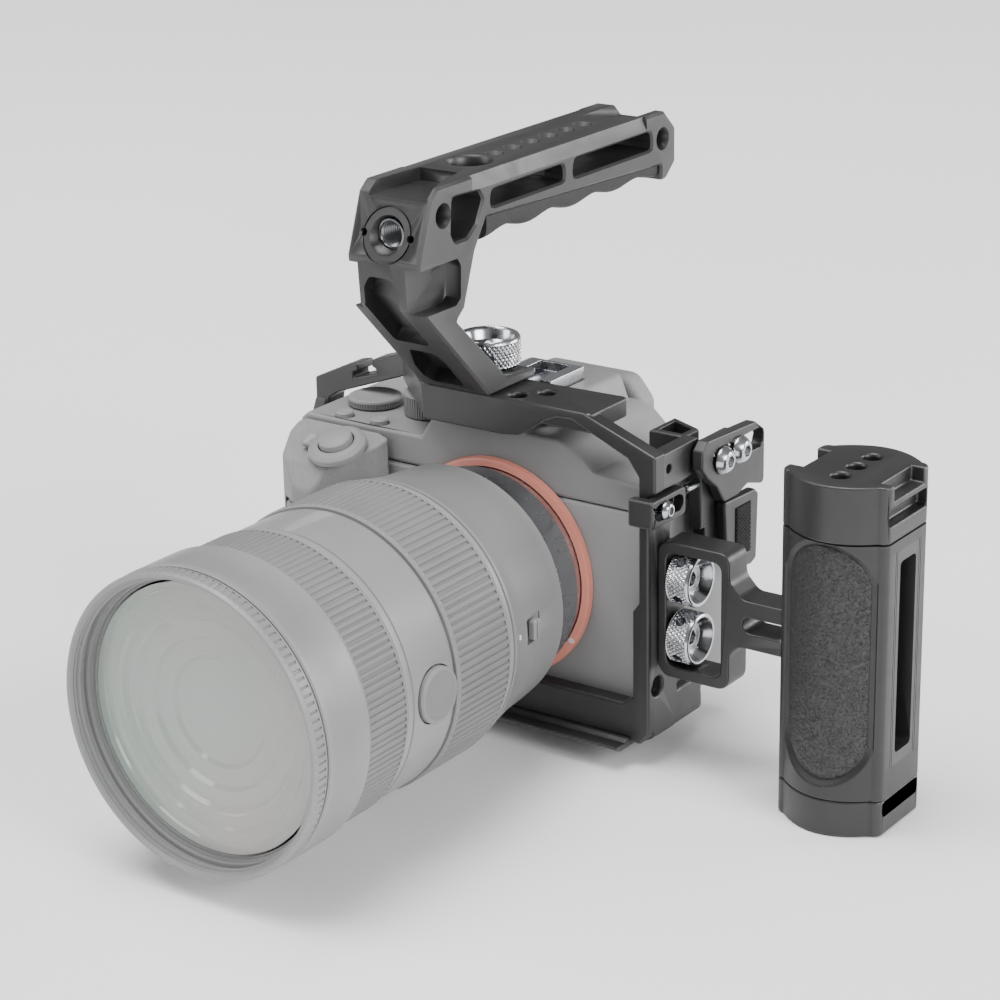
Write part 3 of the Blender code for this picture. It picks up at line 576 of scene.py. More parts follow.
def lens():
    ribbed_ring("zoom_ring", 118, 0.45, 1.2)
    ribbed_ring("focus_ring", 132, 0.4, 1.0)
    flange = [(24.5, -14.2), (33.0, -14.2), (33.0, -0.5), (32.5, 0), (24.5, 0)]
    visual("lens_mount_flange", lathe(flange))
    base = [(24.5, -14.5), (37.2, -14.5), (37.6, -14.9), (38.2, -20.0), (39.0, -30.0), (40.4, -38.0),
            (41.3, -43.0), (41.6, -43.6), (41.6, -44.6), (41.1, -44.8), (41.1, -45.2), (41.6, -45.4),
            (41.6, -46.8), (41.2, -47.2), (38.8, -47.2), (38.8, -43.0), (24.5, -40.0)]
    recess = box((38.2, -36.6, 42.6), (44, -28.4, 50.4))
    visual("base_barrel", carved(lathe(base), cuts=[recess]))
    visual("core_tube", lathe([(38.7, -112.6), (39.9, -112.6), (39.9, -47.5), (38.7, -47.5)]))
    middle = [(40.2, -94.8), (41.5, -94.8), (41.8, -94.5), (41.8, -92.6), (41.5, -92.4), (41.5, -92.0),
              (41.8, -91.8), (41.8, -74.6), (41.6, -74.4), (41.6, -73.7), (41.2, -73.4), (40.2, -73.4)]
    bore = rod((37, -82.0, LENS_Z), (47, -82.0, LENS_Z), 8.4, 64)
    visual("mid_barrel", carved(lathe(middle), cuts=[bore]))
    button = [(0, 41.0), (7.9, 41.0), (8.0, 41.2), (8.0, 42.6), (7.6, 43.1), (6.9, 43.2), (6.4, 42.9),
              (5.6, 42.7), (0, 42.5)]
    visual("focus_hold_button", lathe(button, (0, -82.0, LENS_Z), (1, 0, 0), 64))
    front = [(37.2, -70.0), (38.4, -70.0), (38.4, -113.2), (43.2, -113.2), (43.6, -113.7), (43.6, -126.2),
             (43.6, -126.3), (43.6, -127.5), (43.6, -127.6), (43.6, -130.0), (43.2, -130.4), (40.4, -130.4),
             (40.2, -129.4), (39.7, -129.3), (39.5, -128.2), (39.0, -128.1), (38.6, -121.6), (38.6, -121.0),
             (37.2, -112.0)]
    visual("front_barrel", lathe(front, steps=240, relief=hood_groove))
    rim = [(41.4, -130.7), (43.0, -130.7), (43.4, -131.4), (43.4, -131.7), (43.4, -131.72), (43.4, -134.68),
           (43.4, -134.7), (43.3, -135.4), (42.8, -136.0), (41.9, -136.0), (41.5, -135.5), (41.2, -135.2),
           (41.4, -134.6), (41.0, -134.2), (41.2, -133.6), (40.4, -133.2)]
    visual("filter_ring", lathe(rim, steps=960, relief=ribs(120, 0.35, -134.69, -131.71, 43.4, 0.7)))
    front_glass()
    switch = carved(cad_mesh("focus_mode_switch"), cuts=[box((40.4, -33.0, 42), (42, -32.2, 51))])
    visual("focus_mode_switch", switch, 0.15)
    cell = [(36.9, -107.0), (36.9, -72.0), (18.0, -72.0), (18.0, -76.0), (30.0, -104.0), (34.6, -107.0)]
    visual("front_element_cell", lathe(cell, steps=96), 0.3)
    index = box((39.6, -42.0, 46.6), (41.35, -41.4, 48.0))
    detail("lens_index_mark", "base_barrel", index, material=MARK)


def camera_mount():
    trim = [(31.9, 3.4), (33.4, 3.4), (34.1, 3.8), (34.4, 4.6), (34.4, 5.7), (31.9, 5.7)]
    visual("mount_trim_ring", lathe(trim))
    visual("camera_mount_ring", lathe([(24.6, 0.3), (31.4, 0.3), (31.6, 0.5), (31.6, 5.7), (24.6, 5.7)]))
    angle = math.radians(-32)
    x, z = 33.0 * math.cos(angle), LENS_Z + 33.0 * math.sin(angle)
    detail("mount_index_dot", "mount_trim_ring", rod((x, 3.2, z), (x, 3.9, z), 0.9, 24), material=MARK)


# ---------------------------------------------------------------- fasteners and knobs


def hand_screw(node, origin, direction, outline, knurled, count, cross_holes, cross_at, hole_radius, hexagon):
    """A knurled hand screw: turned outline, diamond knurl, cross holes through the rim and a hex socket."""
    low, high, radius = knurled
    rows = int((high - low) / 0.3)
    split = [i for i, point in enumerate(outline) if point == (radius, low)][0]
    profile = outline[:split] + band(radius, low, high, rows) + outline[split + 2:]
    diamonds = knurl(count, 1.9, 0.32, low + 0.05, high - 0.05, radius)
    mesh = lathe(profile, origin, direction, count * 6, diamonds)
    frame_axis = axis_matrix(origin, direction)
    cuts = []
    for k in range(cross_holes):
        angle = math.tau * (k + 0.4) / cross_holes
        spoke = Vector((math.cos(angle), math.sin(angle), 0))
        reach = (radius * 0.55, radius + 2)
        ends = [frame_axis @ ((spoke * r + Vector((0, 0, cross_at))) * MM) / MM for r in reach]
        cuts.append(rod(*ends, hole_radius, 24, hole_radius * 1.25))
    hex_low, hex_high, hex_radius = hexagon
    ends = [frame_axis @ (Vector((0, 0, along)) * MM) / MM for along in (hex_low, hex_high)]
    cuts.append(rod(*ends, hex_radius, 6))
    visual(node, carved(mesh, cuts=cuts))


def hand_screws():
    thumb = [(0, 54.3), (2.2, 54.3), (2.4, 54.5), (2.4, 60.8), (6.6, 60.8), (7.5, 61.4), (7.9, 61.9),
             (7.9, 68.3), (7.6, 69.0), (7.2, 69.2), (6.7, 69.1), (6.2, 68.4), (5.4, 66.8), (4.4, 66.0),
             (0, 65.8)]
    for node, z in (("thumbscrew_lower", 34.9), ("thumbscrew_upper", 53.1)):
        hand_screw(node, (0, 9.7, z), (1, 0, 0), thumb, (61.9, 68.3, 7.9), 36, 4, 65.0, 1.35,
                   (63.2, 68.0, 2.3))
    knob = [(0, 95.2), (2.1, 95.2), (2.3, 95.4), (2.3, 103.9), (8.8, 103.9), (9.4, 104.3), (9.8, 105.0),
            (9.8, 112.2), (9.5, 112.9), (9.1, 113.2), (8.6, 113.0), (8.0, 112.2), (7.2, 109.6), (6.0, 108.6),
            (0, 108.4)]
    hand_screw("locking_knob", (-9.7, 16.6, 0), (0, 0, 1), knob, (105.0, 112.2, 9.8), 44, 4, 107.6, 1.5,
               (105.6, 111.0, 2.6))


def button_head(node, origin, shank, base, top, head, socket, length_end):
    """A screw with a domed head and a hex socket, along +X."""
    dome = [(head, base), (head, base + 0.5)]
    for step in range(1, 9):
        t = step / 9
        rise = (top - base - 0.5) * math.sin(t * math.pi / 2)
        dome.append((head - (head - socket * 1.15) * t, base + 0.5 + rise))
    profile = [(0, length_end), (shank, length_end), (shank, base), *dome, (socket * 1.1, top), (0, top)]
    y, z = origin
    mesh = lathe(profile, (0, y, z), (1, 0, 0), 64)
    hexagon = rod((top - 1.6, y, z), (top + 1, y, z), socket, 6)
    visual(node, carved(mesh, cuts=[hexagon]), sharp=math.radians(40))


def small_screws():
    button_head("clamp_screw_front", (29.4, 83.3), 1.8, 64.3, 67.0, 4.3, 1.9, 56.4)
    button_head("clamp_screw_rear", (38.8, 83.9), 1.8, 64.3, 67.0, 4.3, 1.9, 56.4)
    button_head("hook_screw", (3.2, 75.4), 1.5, 61.2, 63.0, 2.7, 1.3, 55.2)
    set_screw = [(0, 17.6), (1.0, 17.6), (1.4, 18.0), (1.4, 23.6), (1.1, 23.9), (0, 23.9)]
    mesh = lathe(set_screw, (58.5, 0, 76.8), (0, 1, 0), 32)
    visual("clamp_set_screw", carved(mesh, cuts=[rod((58.5, 17, 76.8), (58.5, 19.4, 76.8), 0.7, 6)]))
    head = [(0, 0.3), (6.0, 0.3), (6.4, 0.7), (6.4, 2.6), (3.1, 2.6), (3.1, 10.4), (2.6, 10.9), (0, 10.9)]
    mesh = lathe(head, (0, 22, 0), (0, 0, 1), 64)
    visual("camera_screw", carved(mesh, cuts=[box((-4.5, 21.4, -0.5), (4.5, 22.6, 1.3))]))
    thread = [(4.45, -29.6), (4.45, -20.2), (3.3, -20.2)]
    turns = 9
    for k in range(turns):
        start = -20.4 - 9.0 * k / turns
        thread += [(3.7, start), (3.05, start - 0.4), (3.05, start - 0.5), (3.7, start - 0.9)]
    thread += [(3.9, -29.7)]
    middle = -9.2
    visual("front_thread_insert", lathe(thread, (middle, 0, 154.0), (0, 1, 0), 64), sharp=math.radians(20),
           material=DARK_STEEL)


# ---------------------------------------------------------------- cage, hook, clamp and bracket


HEAD_CENTRE = Vector((-9.2, -31.6, 154.0))
HEAD_IN, HEAD_DOWN = 0.941, -0.339
HEAD_AXIS = Vector((0.0, HEAD_IN, HEAD_DOWN))


def ring_cut(radius, width, depth):
    """A circular groove in the sloping front of the handle's head."""
    outline = [(radius - width / 2, -1.0), (radius + width / 2, -1.0), (radius + width / 2, depth),
               (radius - width / 2, depth)]
    return lathe(outline, HEAD_CENTRE, HEAD_AXIS, 96)


def cage():
    holes = ((8.9, 4.8), (14.9, 11.2))
    cuts = [rod((52, 5.0, 19.0), (63, 5.0, 19.0), 2.95), rod((56.4, 5.0, 19.0), (58, 5.0, 19.0), 2.9, 32, 4.0),
            *[rod((x, y, 90), (x, y, 105), 2.65) for x, y in holes],
            *[rod((x, y, 99.9), (x, y, 101.5), 2.6, 32, 4.2) for x, y in holes],
            rod((50, 8.0, 86.0), (63, 8.0, 86.0), 1.35)]
    visual("cage_frame", carved(cad_mesh("cage_frame"), cuts=cuts), 0.4)
    visual("quick_release_plate", carved(cad_mesh("quick_release_plate"),
                                         cuts=[rod((0, 22, -2), (0, 22, 5), 7.05, 64)]), 0.3)
    slot = plate([stadium((5.4, 75.3), 5.2, 2.45)], 56, 62, "X")
    visual("side_hook", carved(cad_mesh("side_hook"), cuts=[slot]), 0.35)
    slot = plate([stadium((38.6, 84.2), 11.4, 2.95)], 59, 66, "X")
    visual("clamp_plate", carved(cad_mesh("clamp_plate"), cuts=[slot]), 0.35)
    visual("clamp_block", cad_mesh("clamp_block"), 0.35)
    visual("clamp_jaw", cad_mesh("clamp_jaw"), 0.4)
    slot = plate([stadium((98.2, 45.1), 10.0, 2.35)], 3, 17, "Y")
    outline = [(57.5, 26.0), (59.8, 23.2), (81.4, 23.2), (81.4, 34.8), (84.6, 37.8), (112.0, 37.8),
               (112.0, 52.4), (85.6, 52.4), (81.4, 56.8), (81.4, 65.2), (59.8, 65.2), (57.5, 63.0)]
    opening = rounded([(60.4, 26.6), (78.6, 26.6), (78.6, 61.8), (60.4, 61.8)], 3.0, 8)
    bracket = plate([rounded(outline, 4.2, 8), opening], 4.5, 14.9, "Y")
    holes = [rod((55, 9.7, z), (62, 9.7, z), 2.8) for z in (34.9, 53.1)]
    visual("side_bracket", carved(bracket, cuts=[slot, *holes]), 0.55, segments=3)


def knurled_pad():
    """The clamp jaw's pad, with small diamond teeth on its open face."""
    low, high = node_box("clamp_jaw_pad")
    pitch = 0.9
    fine = 6
    columns, rows = int((high.y - low.y) / pitch * fine), int((high.z - low.z) / pitch * fine)
    bm = bmesh.new()
    grid = []
    for row in range(rows + 1):
        z = low.z + (high.z - low.z) * row / rows
        line = []
        for column in range(columns + 1):
            y = low.y + (high.y - low.y) * column / columns
            first = abs(((y + z) / pitch / 1.4) % 1.0 - 0.5) * 2
            second = abs(((y - z) / pitch / 1.4) % 1.0 - 0.5) * 2
            inside = 0 < row < rows and 0 < column < columns
            height = 0.42 * min(1.0, 1.6 * min(first, second)) if inside else 0.0
            line.append(bm.verts.new(((high.x - 0.42 + height) * MM, y * MM, z * MM)))
        grid.append(line)
    for row in range(rows):
        for column in range(columns):
            bm.faces.new((grid[row][column], grid[row][column + 1],
                          grid[row + 1][column + 1], grid[row + 1][column]))
    border = [e for e in bm.edges if e.is_boundary]
    walls = bmesh.ops.extrude_edge_only(bm, edges=border)
    back = [v for v in walls["geom"] if isinstance(v, bmesh.types.BMVert)]
    for vertex in back:
        vertex.co.x = low.x * MM
    bmesh.ops.contextual_create(bm, geom=[e for e in bm.edges if e.is_boundary])
    visual("clamp_jaw_pad", finish_mesh(bm), sharp=math.radians(20))


# ---------------------------------------------------------------- top handle


def top_handle():
    left, right = -21.9, 3.5
    middle = (left + right) / 2
    top = 167.6
    cuts = []
    for y in (19.6 + 9.3 * k for k in range(6)):
        cuts.append(rod((middle + 0.6, y, 160), (middle + 0.6, y, 170), 2.35))
        cuts.append(rod((middle + 0.6, y, top - 1.3), (middle + 0.6, y, top + 0.5), 2.3, 32, 3.6))
    cuts.append(rod((middle, 8.0, 164.4), (middle, 8.0, 170), 6.65, 64))
    cuts.append(rod((middle, 8.0, 158), (middle, 8.0, 166), 3.6, 48))
    cuts.append(rod((middle, 8.0, top - 0.9), (middle, 8.0, top + 0.5), 6.6, 64, 7.9))
    for y in (-22.0, 93.2):
        cuts.append(rod((right - 5, y, 159.2), (right + 2, y, 159.2), 2.45))
        cuts.append(rod((right - 1.7, y, 159.2), (right + 0.3, y, 159.2), 2.4, 48, 3.9))
    corner = [(right - 1.3, top + 0.02), (right + 0.6, top + 0.9), (right + 0.6, top - 5.4),
              (right + 0.01, top - 4.3)]
    for outline in (corner, [(left + right - x, z) for x, z in corner]):
        cuts.append(plate([outline], -8.0, 84.0, "Y"))
    cuts.append(ring_cut(8.2, 0.55, 0.5))
    for degrees in (0, 78, 180, 258):
        spoke = Vector((math.cos(math.radians(degrees)), 0.0, math.sin(math.radians(degrees)))) * 8.2
        spot = HEAD_CENTRE + Vector((spoke.x, HEAD_DOWN * spoke.z, HEAD_IN * spoke.z))
        cuts.append(rod(spot - HEAD_AXIS * 2, spot + HEAD_AXIS * 4, 1.2, 24))
    cuts.append(rod(HEAD_CENTRE - HEAD_AXIS, HEAD_CENTRE + HEAD_AXIS * 2.2, 6.4, 64, 4.7))
    visual("top_handle_frame", carved(cad_mesh("top_handle_frame"), cuts=cuts), sharp=MACHINED)
    grip()


def grip():
    """Rubber under the top handle: four shallow finger waves with round lower edges."""
    low, high = node_box("top_handle_grip")
    x0, x1 = low.x, high.x
    half = (x1 - x0) / 2
    centre = (x0 + x1) / 2
    stations, across = 150, 28
    bm = bmesh.new()
    rings = []
    for s in range(stations + 1):
        share = s / stations
        y = 0.2 + 92.0 * share
        upper = 154.2 - 3.5 * share
        lower = 147.6 - 1.0 * math.cos(4 * math.tau * (1 - share))
        ring = [(centre + half, upper), (centre - half, upper)]
        for k in range(across + 1):
            a = math.pi * (1 - k / across)
            x = centre + half * math.copysign(abs(math.cos(a)) ** 0.45, math.cos(a))
            z = upper - 1.0 - (upper - 1.0 - lower) * abs(math.sin(a)) ** 0.45
            ring.append((x, z))
        rings.append([bm.verts.new((x * MM, y * MM, z * MM)) for x, z in ring])
    for first, second in zip(rings, rings[1:]):
        for k in range(len(first)):
            after = (k + 1) % len(first)
            bm.faces.new((first[k], first[after], second[after], second[k]))
    bm.faces.new(rings[0])
    bm.faces.new(rings[-1])
    obj = visual("top_handle_grip", finish_mesh(bm), sharp=math.radians(60))


# ---------------------------------------------------------------- side handle

HANDLE_CENTRE = (118.2, 9.5)
HANDLE_HALF = 16.5
HANDLE_FLAT = 12.6
HANDLE_BOW = 6.2
HANDLE_CORNER = 2.6
PAD_Z, PAD_HALF, PAD_RADIUS = 45.0, 22.0, 12.8


def bow(x):
    """How far the handle's front or back is from its middle plane, at a distance x from its centre line."""
    t = min(1.0, abs(x) / (HANDLE_HALF - HANDLE_CORNER))
    return HANDLE_FLAT + HANDLE_BOW * (1 - t * t)


def handle_outline(columns=72):
    """Plan points of the handle: bowed front and back, flat sides and round corners."""
    x0, y0 = HANDLE_CENTRE
    reach = HANDLE_HALF - HANDLE_CORNER
    points = []
    for side in (-1, 1):
        for k in range(columns + 1):
            x = side * reach * (2 * k / columns - 1)
            points.append((x0 - x, y0 + side * bow(x)))
        for k in range(1, 8):
            a = k / 8 * math.pi / 2
            points.append((x0 - side * (reach + HANDLE_CORNER * math.sin(a)),
                           y0 + side * (HANDLE_FLAT - HANDLE_CORNER * (1 - math.cos(a)))))
        points.append((x0 - side * HANDLE_HALF, y0 + side * (HANDLE_FLAT - HANDLE_CORNER)))
        points.append((x0 - side * HANDLE_HALF, y0 - side * (HANDLE_FLAT - HANDLE_CORNER)))
        for k in range(1, 8):
            a = k / 8 * math.pi / 2
            points.append((x0 - side * (reach + HANDLE_CORNER * math.cos(a)),
                           y0 - side * (HANDLE_FLAT - HANDLE_CORNER * (1 - math.sin(a)))))
    return points


def pad_distance(x, z):
    """How far a point lies outside the pad's stadium outline; negative inside."""
    dz = max(0.0, abs(z - PAD_Z) - PAD_HALF)
    return math.hypot(x, dz) - PAD_RADIUS


def stacked(outline, levels, shift=None):
    """A closed shell through copies of an outline at several heights, each point moved by shift(x, y, z)."""
    bm = bmesh.new()
    rings = []
    for z in levels:
        rings.append([bm.verts.new(Vector(shift(x, y, z) if shift else (x, y, z)) * MM) for x, y in outline])
    for first, second in zip(rings, rings[1:]):
        for k in range(len(first)):
            after = (k + 1) % len(first)
            bm.faces.new((first[k], first[after], second[after], second[k]))
    bm.faces.new(rings[0])
    bm.faces.new(rings[-1])
    return finish_mesh(bm)


def recessed(x, y, z):
    """Sinks the handle's surface around the pads, with a slanted rim."""
    x0, y0 = HANDLE_CENTRE
    depth, rim = 1.5, 1.9
    if abs(y - y0) < HANDLE_FLAT - 0.4:
        return x, y, z
    share = min(1.0, max(0.0, (1.6 - pad_distance(x - x0, z)) / rim))
    return x, y - math.copysign(depth * share, y - y0), z


def side_handle():
    x0, y0 = HANDLE_CENTRE
    left, right = x0 - HANDLE_HALF, x0 + HANDLE_HALF
    low, high = node_box("side_handle_body")
    outline = handle_outline()
    levels = [low.z + (high.z - low.z) * k / 240 for k in range(241)]
    body = stacked(outline, levels, recessed)
    channel = box((left - 2, 4.1, 37.3), (116.6, 15.3, 52.9))
    slot_y = y0 + 0.4
    corners = [(slot_y - 4.6, 17.0), (slot_y + 4.6, 17.0), (slot_y + 4.6, 74.0), (slot_y - 4.6, 74.0)]
    slot = plate([rounded(corners, 1.8, 6)], 124.0, right + 3, "X")
    lines = []
    for offset, reach in ((-7.2, 32.0), (-6.3, 32.0), (7.2, 32.0), (6.3, 32.0)):
        y = slot_y + offset
        lines.append(box((right - 0.28, y - 0.13, 45.5 - reach), (right + 1, y + 0.13, 45.5 + reach)))
    visual("side_handle_body", carved(body, cuts=[channel, slot, *lines]), sharp=MACHINED)
    side_pads()
    low, high = node_box("side_handle_top_cap")
    top = carved(stacked(outline, [low.z, high.z]), cuts=cap_cuts(high.z))
    visual("side_handle_top_cap", top, 0.7, segments=3)
    low, high = node_box("side_handle_bottom_cap")
    corners = [(y0 - 9.8, 0.2), (y0 + 9.8, 0.2), (y0 + 9.8, 3.8), (y0 - 9.8, 3.8)]
    strap = plate([rounded(corners, 1.0)], right - 3.4, right + 2, "X")
    bottom = carved(stacked(outline, [low.z, high.z]), cuts=[strap, rod((x0, y0, -8), (x0, y0, 0), 3.1)])
    visual("side_handle_bottom_cap", bottom, 0.7, segments=3)


def cap_cuts(top):
    """The top cap's two notches, strap slot and three threaded holes."""
    x0, y0 = HANDLE_CENTRE
    left, right = x0 - HANDLE_HALF, x0 + HANDLE_HALF
    corners = [(y0 - 11.0, 86.0), (y0 + 11.0, 86.0), (y0 + 11.0, 91.0), (y0 - 11.0, 91.0)]
    cuts = [box((left - 2, y0 - 7.6, 92.0), (left + 4.2, y0 + 7.6, top + 1)),
            box((right - 4.2, y0 - 8.6, 93.0), (right + 2, y0 + 8.6, top + 1)),
            plate([rounded(corners, 1.2)], right - 3.4, right + 2, "X")]
    for offset in (-9, 0, 9):
        cuts.append(rod((x0, y0 + offset, 90), (x0, y0 + offset, 99), 2.7))
        cuts.append(rod((x0, y0 + offset, top - 0.7), (x0, y0 + offset, top + 0.3), 2.7, 32, 3.5))
    return cuts


def side_pads():
    """Wrinkled leather-like pads that follow the bowed sides of the handle."""
    x0, y0 = HANDLE_CENTRE
    for node, side in (("side_handle_front_pad", -1), ("side_handle_back_pad", 1)):
        step = 0.34
        columns = int(2 * PAD_RADIUS / step)
        rows = int(2 * (PAD_HALF + PAD_RADIUS) / step)
        bm = bmesh.new()
        grid = {}
        for row in range(rows + 1):
            z = PAD_Z + (row - rows / 2) * step
            for column in range(columns + 1):
                x = (column - columns / 2) * step
                reach = -pad_distance(x, z)
                if reach < 0.12:
                    continue
                swell = 0.9 * (1 - math.exp(-reach / 1.1))
                height = bow(x) - 1.5 + swell + wrinkle(x, z, side) * min(1.0, reach / 0.8)
                grid[row, column] = bm.verts.new(((x0 + x) * MM, (y0 + side * height) * MM, z * MM))
        for (row, column), corner in list(grid.items()):
            others = [grid.get(key) for key in ((row, column + 1), (row + 1, column + 1), (row + 1, column))]
            if all(others):
                bm.faces.new((corner, *others))
        loose = [v for v in bm.verts if not v.link_faces]
        bmesh.ops.delete(bm, geom=loose, context="VERTS")
        border = [e for e in bm.edges if e.is_boundary]
        walls = bmesh.ops.extrude_edge_only(bm, edges=border)
        back = [v for v in walls["geom"] if isinstance(v, bmesh.types.BMVert)]
        for vertex in back:
            vertex.co.y = (y0 + side * (bow(vertex.co.x / MM - x0) - 1.9)) * MM
        bmesh.ops.holes_fill(bm, edges=[e for e in bm.edges if e.is_boundary])
        obj = visual(node, finish_mesh(bm), sharp=math.radians(80), material=WRINKLED)


def wrinkle(x, z, side):
    """Height of the worm-like wrinkles: narrow grooves where a warped noise crosses zero."""
    warp = noise.noise_vector(Vector((x * 0.5, z * 0.5, 3.0 * side))) * 0.7
    value = noise.noise(Vector((x * 0.62 + warp.x, z * 0.62 + warp.y, 7.0 * side)))
    second = noise.noise(Vector((x * 0.9 + warp.y + 40.0, z * 0.9 + warp.x, 11.0 * side)))
    groove = math.exp(-(value / 0.075) ** 2) + 0.8 * math.exp(-(second / 0.07) ** 2)
    return -0.28 * min(1.0, groove)


def wrinkled_rubber():
    """Leather-like rubber: winding grooves with painted shade at their bottom, between shiny ridges."""
    graph = Graph("wrinkled_rubber")
    first = graph.node("ShaderNodeTexNoise", in_Scale=620.0, in_Detail=1.5, in_Distortion=1.6)
    graph.link(graph.coordinates, first.inputs["Vector"])
    ridge = graph.node("ShaderNodeMath", operation="SUBTRACT")
    graph.link(first.outputs["Fac"], ridge.inputs[0])
    ridge.inputs[1].default_value = 0.5
    depth = graph.node("ShaderNodeMath", operation="ABSOLUTE")
    graph.link(ridge.outputs[0], depth.inputs[0])
    height = graph.remap(depth.outputs[0], 0.0, 1.0, 0.0, 0.045)
    # Painted shade: the colour darkens into the bottom of each groove and is lighter on the ridges.
    tone = graph.mix(height, (0.006, 0.006, 0.006), (0.024, 0.024, 0.025))
    rough = graph.remap(graph.noise(900.0, 2.0), 0.42, 0.52)
    return graph.finish(tone, rough, graph.bump(height, 0.9, 0.22), 0.0, Specular_IOR_Level=0.6)


WRINKLED = wrinkled_rubber()
noise.seed_set(WRINKLE_SEED)


# ---------------------------------------------------------------- camera


def dial(centre, low, high, radius, count, depth, dish=0.0):
    """A ribbed control dial with a smooth top rim."""
    x, y = centre
    profile = [(0, low), (radius - 0.4, low), (radius, low + 0.4), (radius, low + 0.42),
               (radius, high - 0.92), (radius, high - 0.9), (radius - 0.3, high - 0.3), (radius - 1.0, high),
               (radius - 1.8, high), (radius - 2.4, high - dish), (0, high - dish)]
    relief = ribs(count, depth, low + 0.41, high - 0.91, radius, 0.6)
    return lathe(profile, (x, y, 0), (0, 0, 1), count * 8, relief)


def controls():
    visual("exposure_dial", dial((-59, 24), 81.3, 84.2, 8.6, 60, 0.3, 0.3))
    mode = dial((-38, 26), 81.3, 88.6, 9.0, 64, 0.35)
    visual("mode_dial", carved(mode, cuts=[rod((-38, 26, 86.0), (-38, 26, 92), 3.2, 48)]))
    lock = [(0, 86.9), (2.9, 86.9), (2.9, 89.1), (2.5, 89.6), (0, 89.5)]
    visual("mode_dial_lock", lathe(lock, (-38, 26, 0), (0, 0, 1), 48))
    visual("front_dial", dial((-57, -7.6), 50.8, 59.2, 10.3, 48, 0.5))
    custom = [(0, 80.2), (2.7, 80.2), (2.7, 82.0), (2.3, 82.4), (0, 82.2)]
    for node, (x, y) in (("custom_button_1", (-46.4, 9.9)), ("custom_button_2", (-60.0, 9.9))):
        visual(node, lathe(custom, (x, y, 0), (0, 0, 1), 48))
    slope = math.radians(21)
    axis = (0, -math.sin(slope), math.cos(slope))
    shutter = (-50.6, -5.6, 75.7)
    cap = [(0, 0.8), (5.3, 0.8), (5.3, 4.0), (5.1, 4.9), (4.3, 5.5), (2.4, 5.9), (0, 6.0)]
    visual("shutter_button", lathe(cap, shutter, axis, 64))
    visual("power_lever", cad_mesh("power_lever"), 0.35)
    release = [(0, 2.0), (3.2, 2.0), (3.8, 2.3), (4.0, 2.8), (4.0, 9.2), (0, 9.2)]
    visual("lens_release_button", lathe(release, (-28.6, 0, 18.6), (0, 1, 0), 64))
    wheel = [(5.2, 52.4), (12.8, 52.4), (13.2, 52.8), (13.2, 52.82), (13.2, 54.38), (13.2, 54.4),
             (12.8, 55.0), (11.0, 54.8), (6.0, 54.6), (5.2, 54.2)]
    visual("rear_wheel", lathe(wheel, (-56, 0, 32), (0, 1, 0), 640, ribs(80, 0.25, 52.81, 54.39, 13.2)))
    select = [(0, 52.9), (4.6, 52.9), (4.6, 54.8), (4.3, 55.2), (0, 55.0)]
    visual("select_button", lathe(select, (-56, 0, 32), (0, 1, 0), 48))


def camera():
    visual("camera_body", cad_mesh("camera_body"), sharp=MACHINED)
    visual("top_cover", cad_mesh("top_cover"), 0.9, segments=3)
    visual("camera_grip", cad_mesh("camera_grip"), 1.0, segments=3)
    visual("eyecup", remeshed(cad_mesh("eyecup"), 0.6, 10), sharp=math.radians(60))
    visual("rear_monitor", cad_mesh("rear_monitor"), 0.8, segments=3)
    visual("hot_shoe", cad_mesh("hot_shoe"), 0.2)
    visual("port_door", cad_mesh("port_door"), 0.3)
    visual("viewfinder_window", cad_mesh("viewfinder_window"), 0.3)
    visual("image_sensor", cad_mesh("image_sensor"), 0.2)
    visual("rear_baffle", lathe([(22.3, -12.8), (24.2, -12.8), (24.2, -3.0), (22.3, -3.0)], steps=96))
    glass = [(0, -12.4), (8, -11.9), (17, -10.4), (22, -10.4), (22, -5.6), (17, -5.6), (0, -7.0)]
    visual("rear_element", lathe(glass, steps=96), sharp=math.radians(50))


# ---------------------------------------------------------------- stage, lights and camera


def floor_material():
    graph = Graph("pale_floor")
    tone = graph.mix(graph.remap(graph.noise(1.5, 2.0), 0.0, 1.0), (0.90, 0.90, 0.90), (0.93, 0.93, 0.93))
    return graph.finish(tone, graph.remap(graph.noise(4.0, 2.0), 0.7, 0.8))


def stage():
    bm = bmesh.new()
    bmesh.ops.create_grid(bm, x_segments=2, y_segments=2, size=12.0)
    mesh = finish_mesh(bm)
    mesh.transform(Matrix.Translation((0, 0, CAD_BOX[0].z - 0.0002)))
    floor = bpy.data.objects.new("floor", mesh)
    bpy.context.scene.collection.objects.link(floor)
    mesh.materials.append(floor_material())


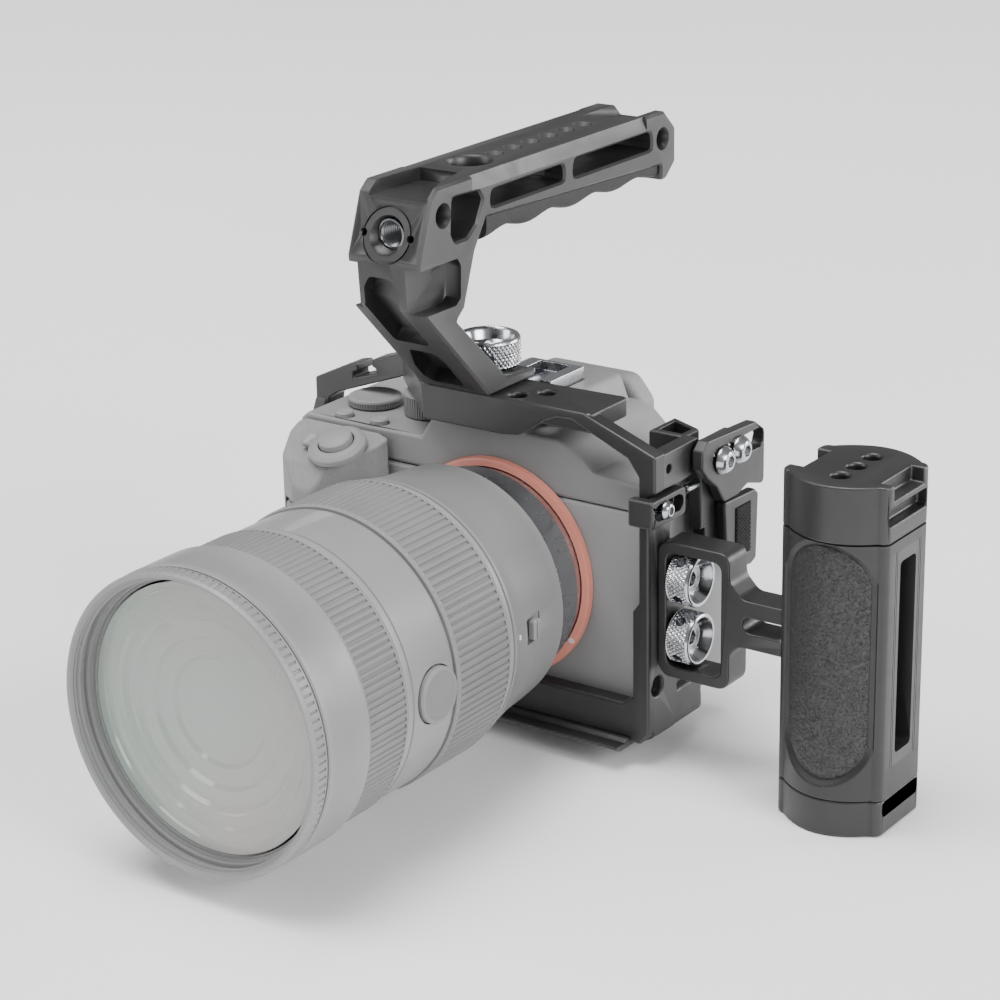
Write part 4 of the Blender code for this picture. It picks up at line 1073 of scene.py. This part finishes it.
def softbox(name, position, target, size, power):
    data = bpy.data.lights.new(name, "AREA")
    data.shape = "RECTANGLE"
    data.size, data.size_y = size
    data.energy = power
    lamp = bpy.data.objects.new(name, data)
    lamp.location = position
    lamp.rotation_euler = (Vector(target) - Vector(position)).to_track_quat("-Z", "Y").to_euler()
    bpy.context.scene.collection.objects.link(lamp)


def lights():
    world = bpy.data.worlds.new("studio")
    world.use_nodes = True
    background = world.node_tree.nodes["Background"]
    background.inputs["Color"].default_value = (1.0, 1.0, 1.0, 1.0)
    background.inputs["Strength"].default_value = 0.28
    bpy.context.scene.world = world
    middle = (0.02, -0.02, 0.07)
    softbox("top_soft", (-0.4, -0.6, 3.6), middle, (2.6, 2.6), 200.0)
    softbox("key_right", (3.2, -0.6, 1.6), middle, (2.0, 1.6), 120.0)
    softbox("rim_right", (2.6, 3.0, 1.0), middle, (2.2, 1.6), 110.0)
    softbox("fill_left", (-3.0, -2.0, 1.8), middle, (2.0, 2.0), 60.0)


AZIMUTH = math.radians(35.540)
ELEVATION = math.radians(19.790)
ROLL = math.radians(-1.0914)
FOCAL = 100.75
CAMERA_AT = (0.45801, -0.63367, 0.34883)


def photo_camera():
    level = math.cos(ELEVATION)
    back = Vector((math.sin(AZIMUTH) * level, -math.cos(AZIMUTH) * level, math.sin(ELEVATION)))
    right = (-back).cross(Vector((0, 0, 1))).normalized()
    up = right.cross(-back)
    turned_right = right * math.cos(ROLL) + up * math.sin(ROLL)
    turned_up = up * math.cos(ROLL) - right * math.sin(ROLL)
    data = bpy.data.cameras.new("camera")
    data.lens = FOCAL
    data.sensor_width = 36.0
    data.clip_start = 0.05
    data.clip_end = 60.0
    obj = bpy.data.objects.new("camera", data)
    turn = Matrix((turned_right, turned_up, back)).transposed().to_4x4()
    obj.matrix_world = Matrix.Translation(CAMERA_AT) @ turn
    bpy.context.scene.collection.objects.link(obj)
    bpy.context.scene.camera = obj


def build():
    lens()
    camera_mount()
    hand_screws()
    small_screws()
    cage()
    knurled_pad()
    top_handle()
    side_handle()
    controls()
    camera()
    stage()
    lights()
    photo_camera()


build()
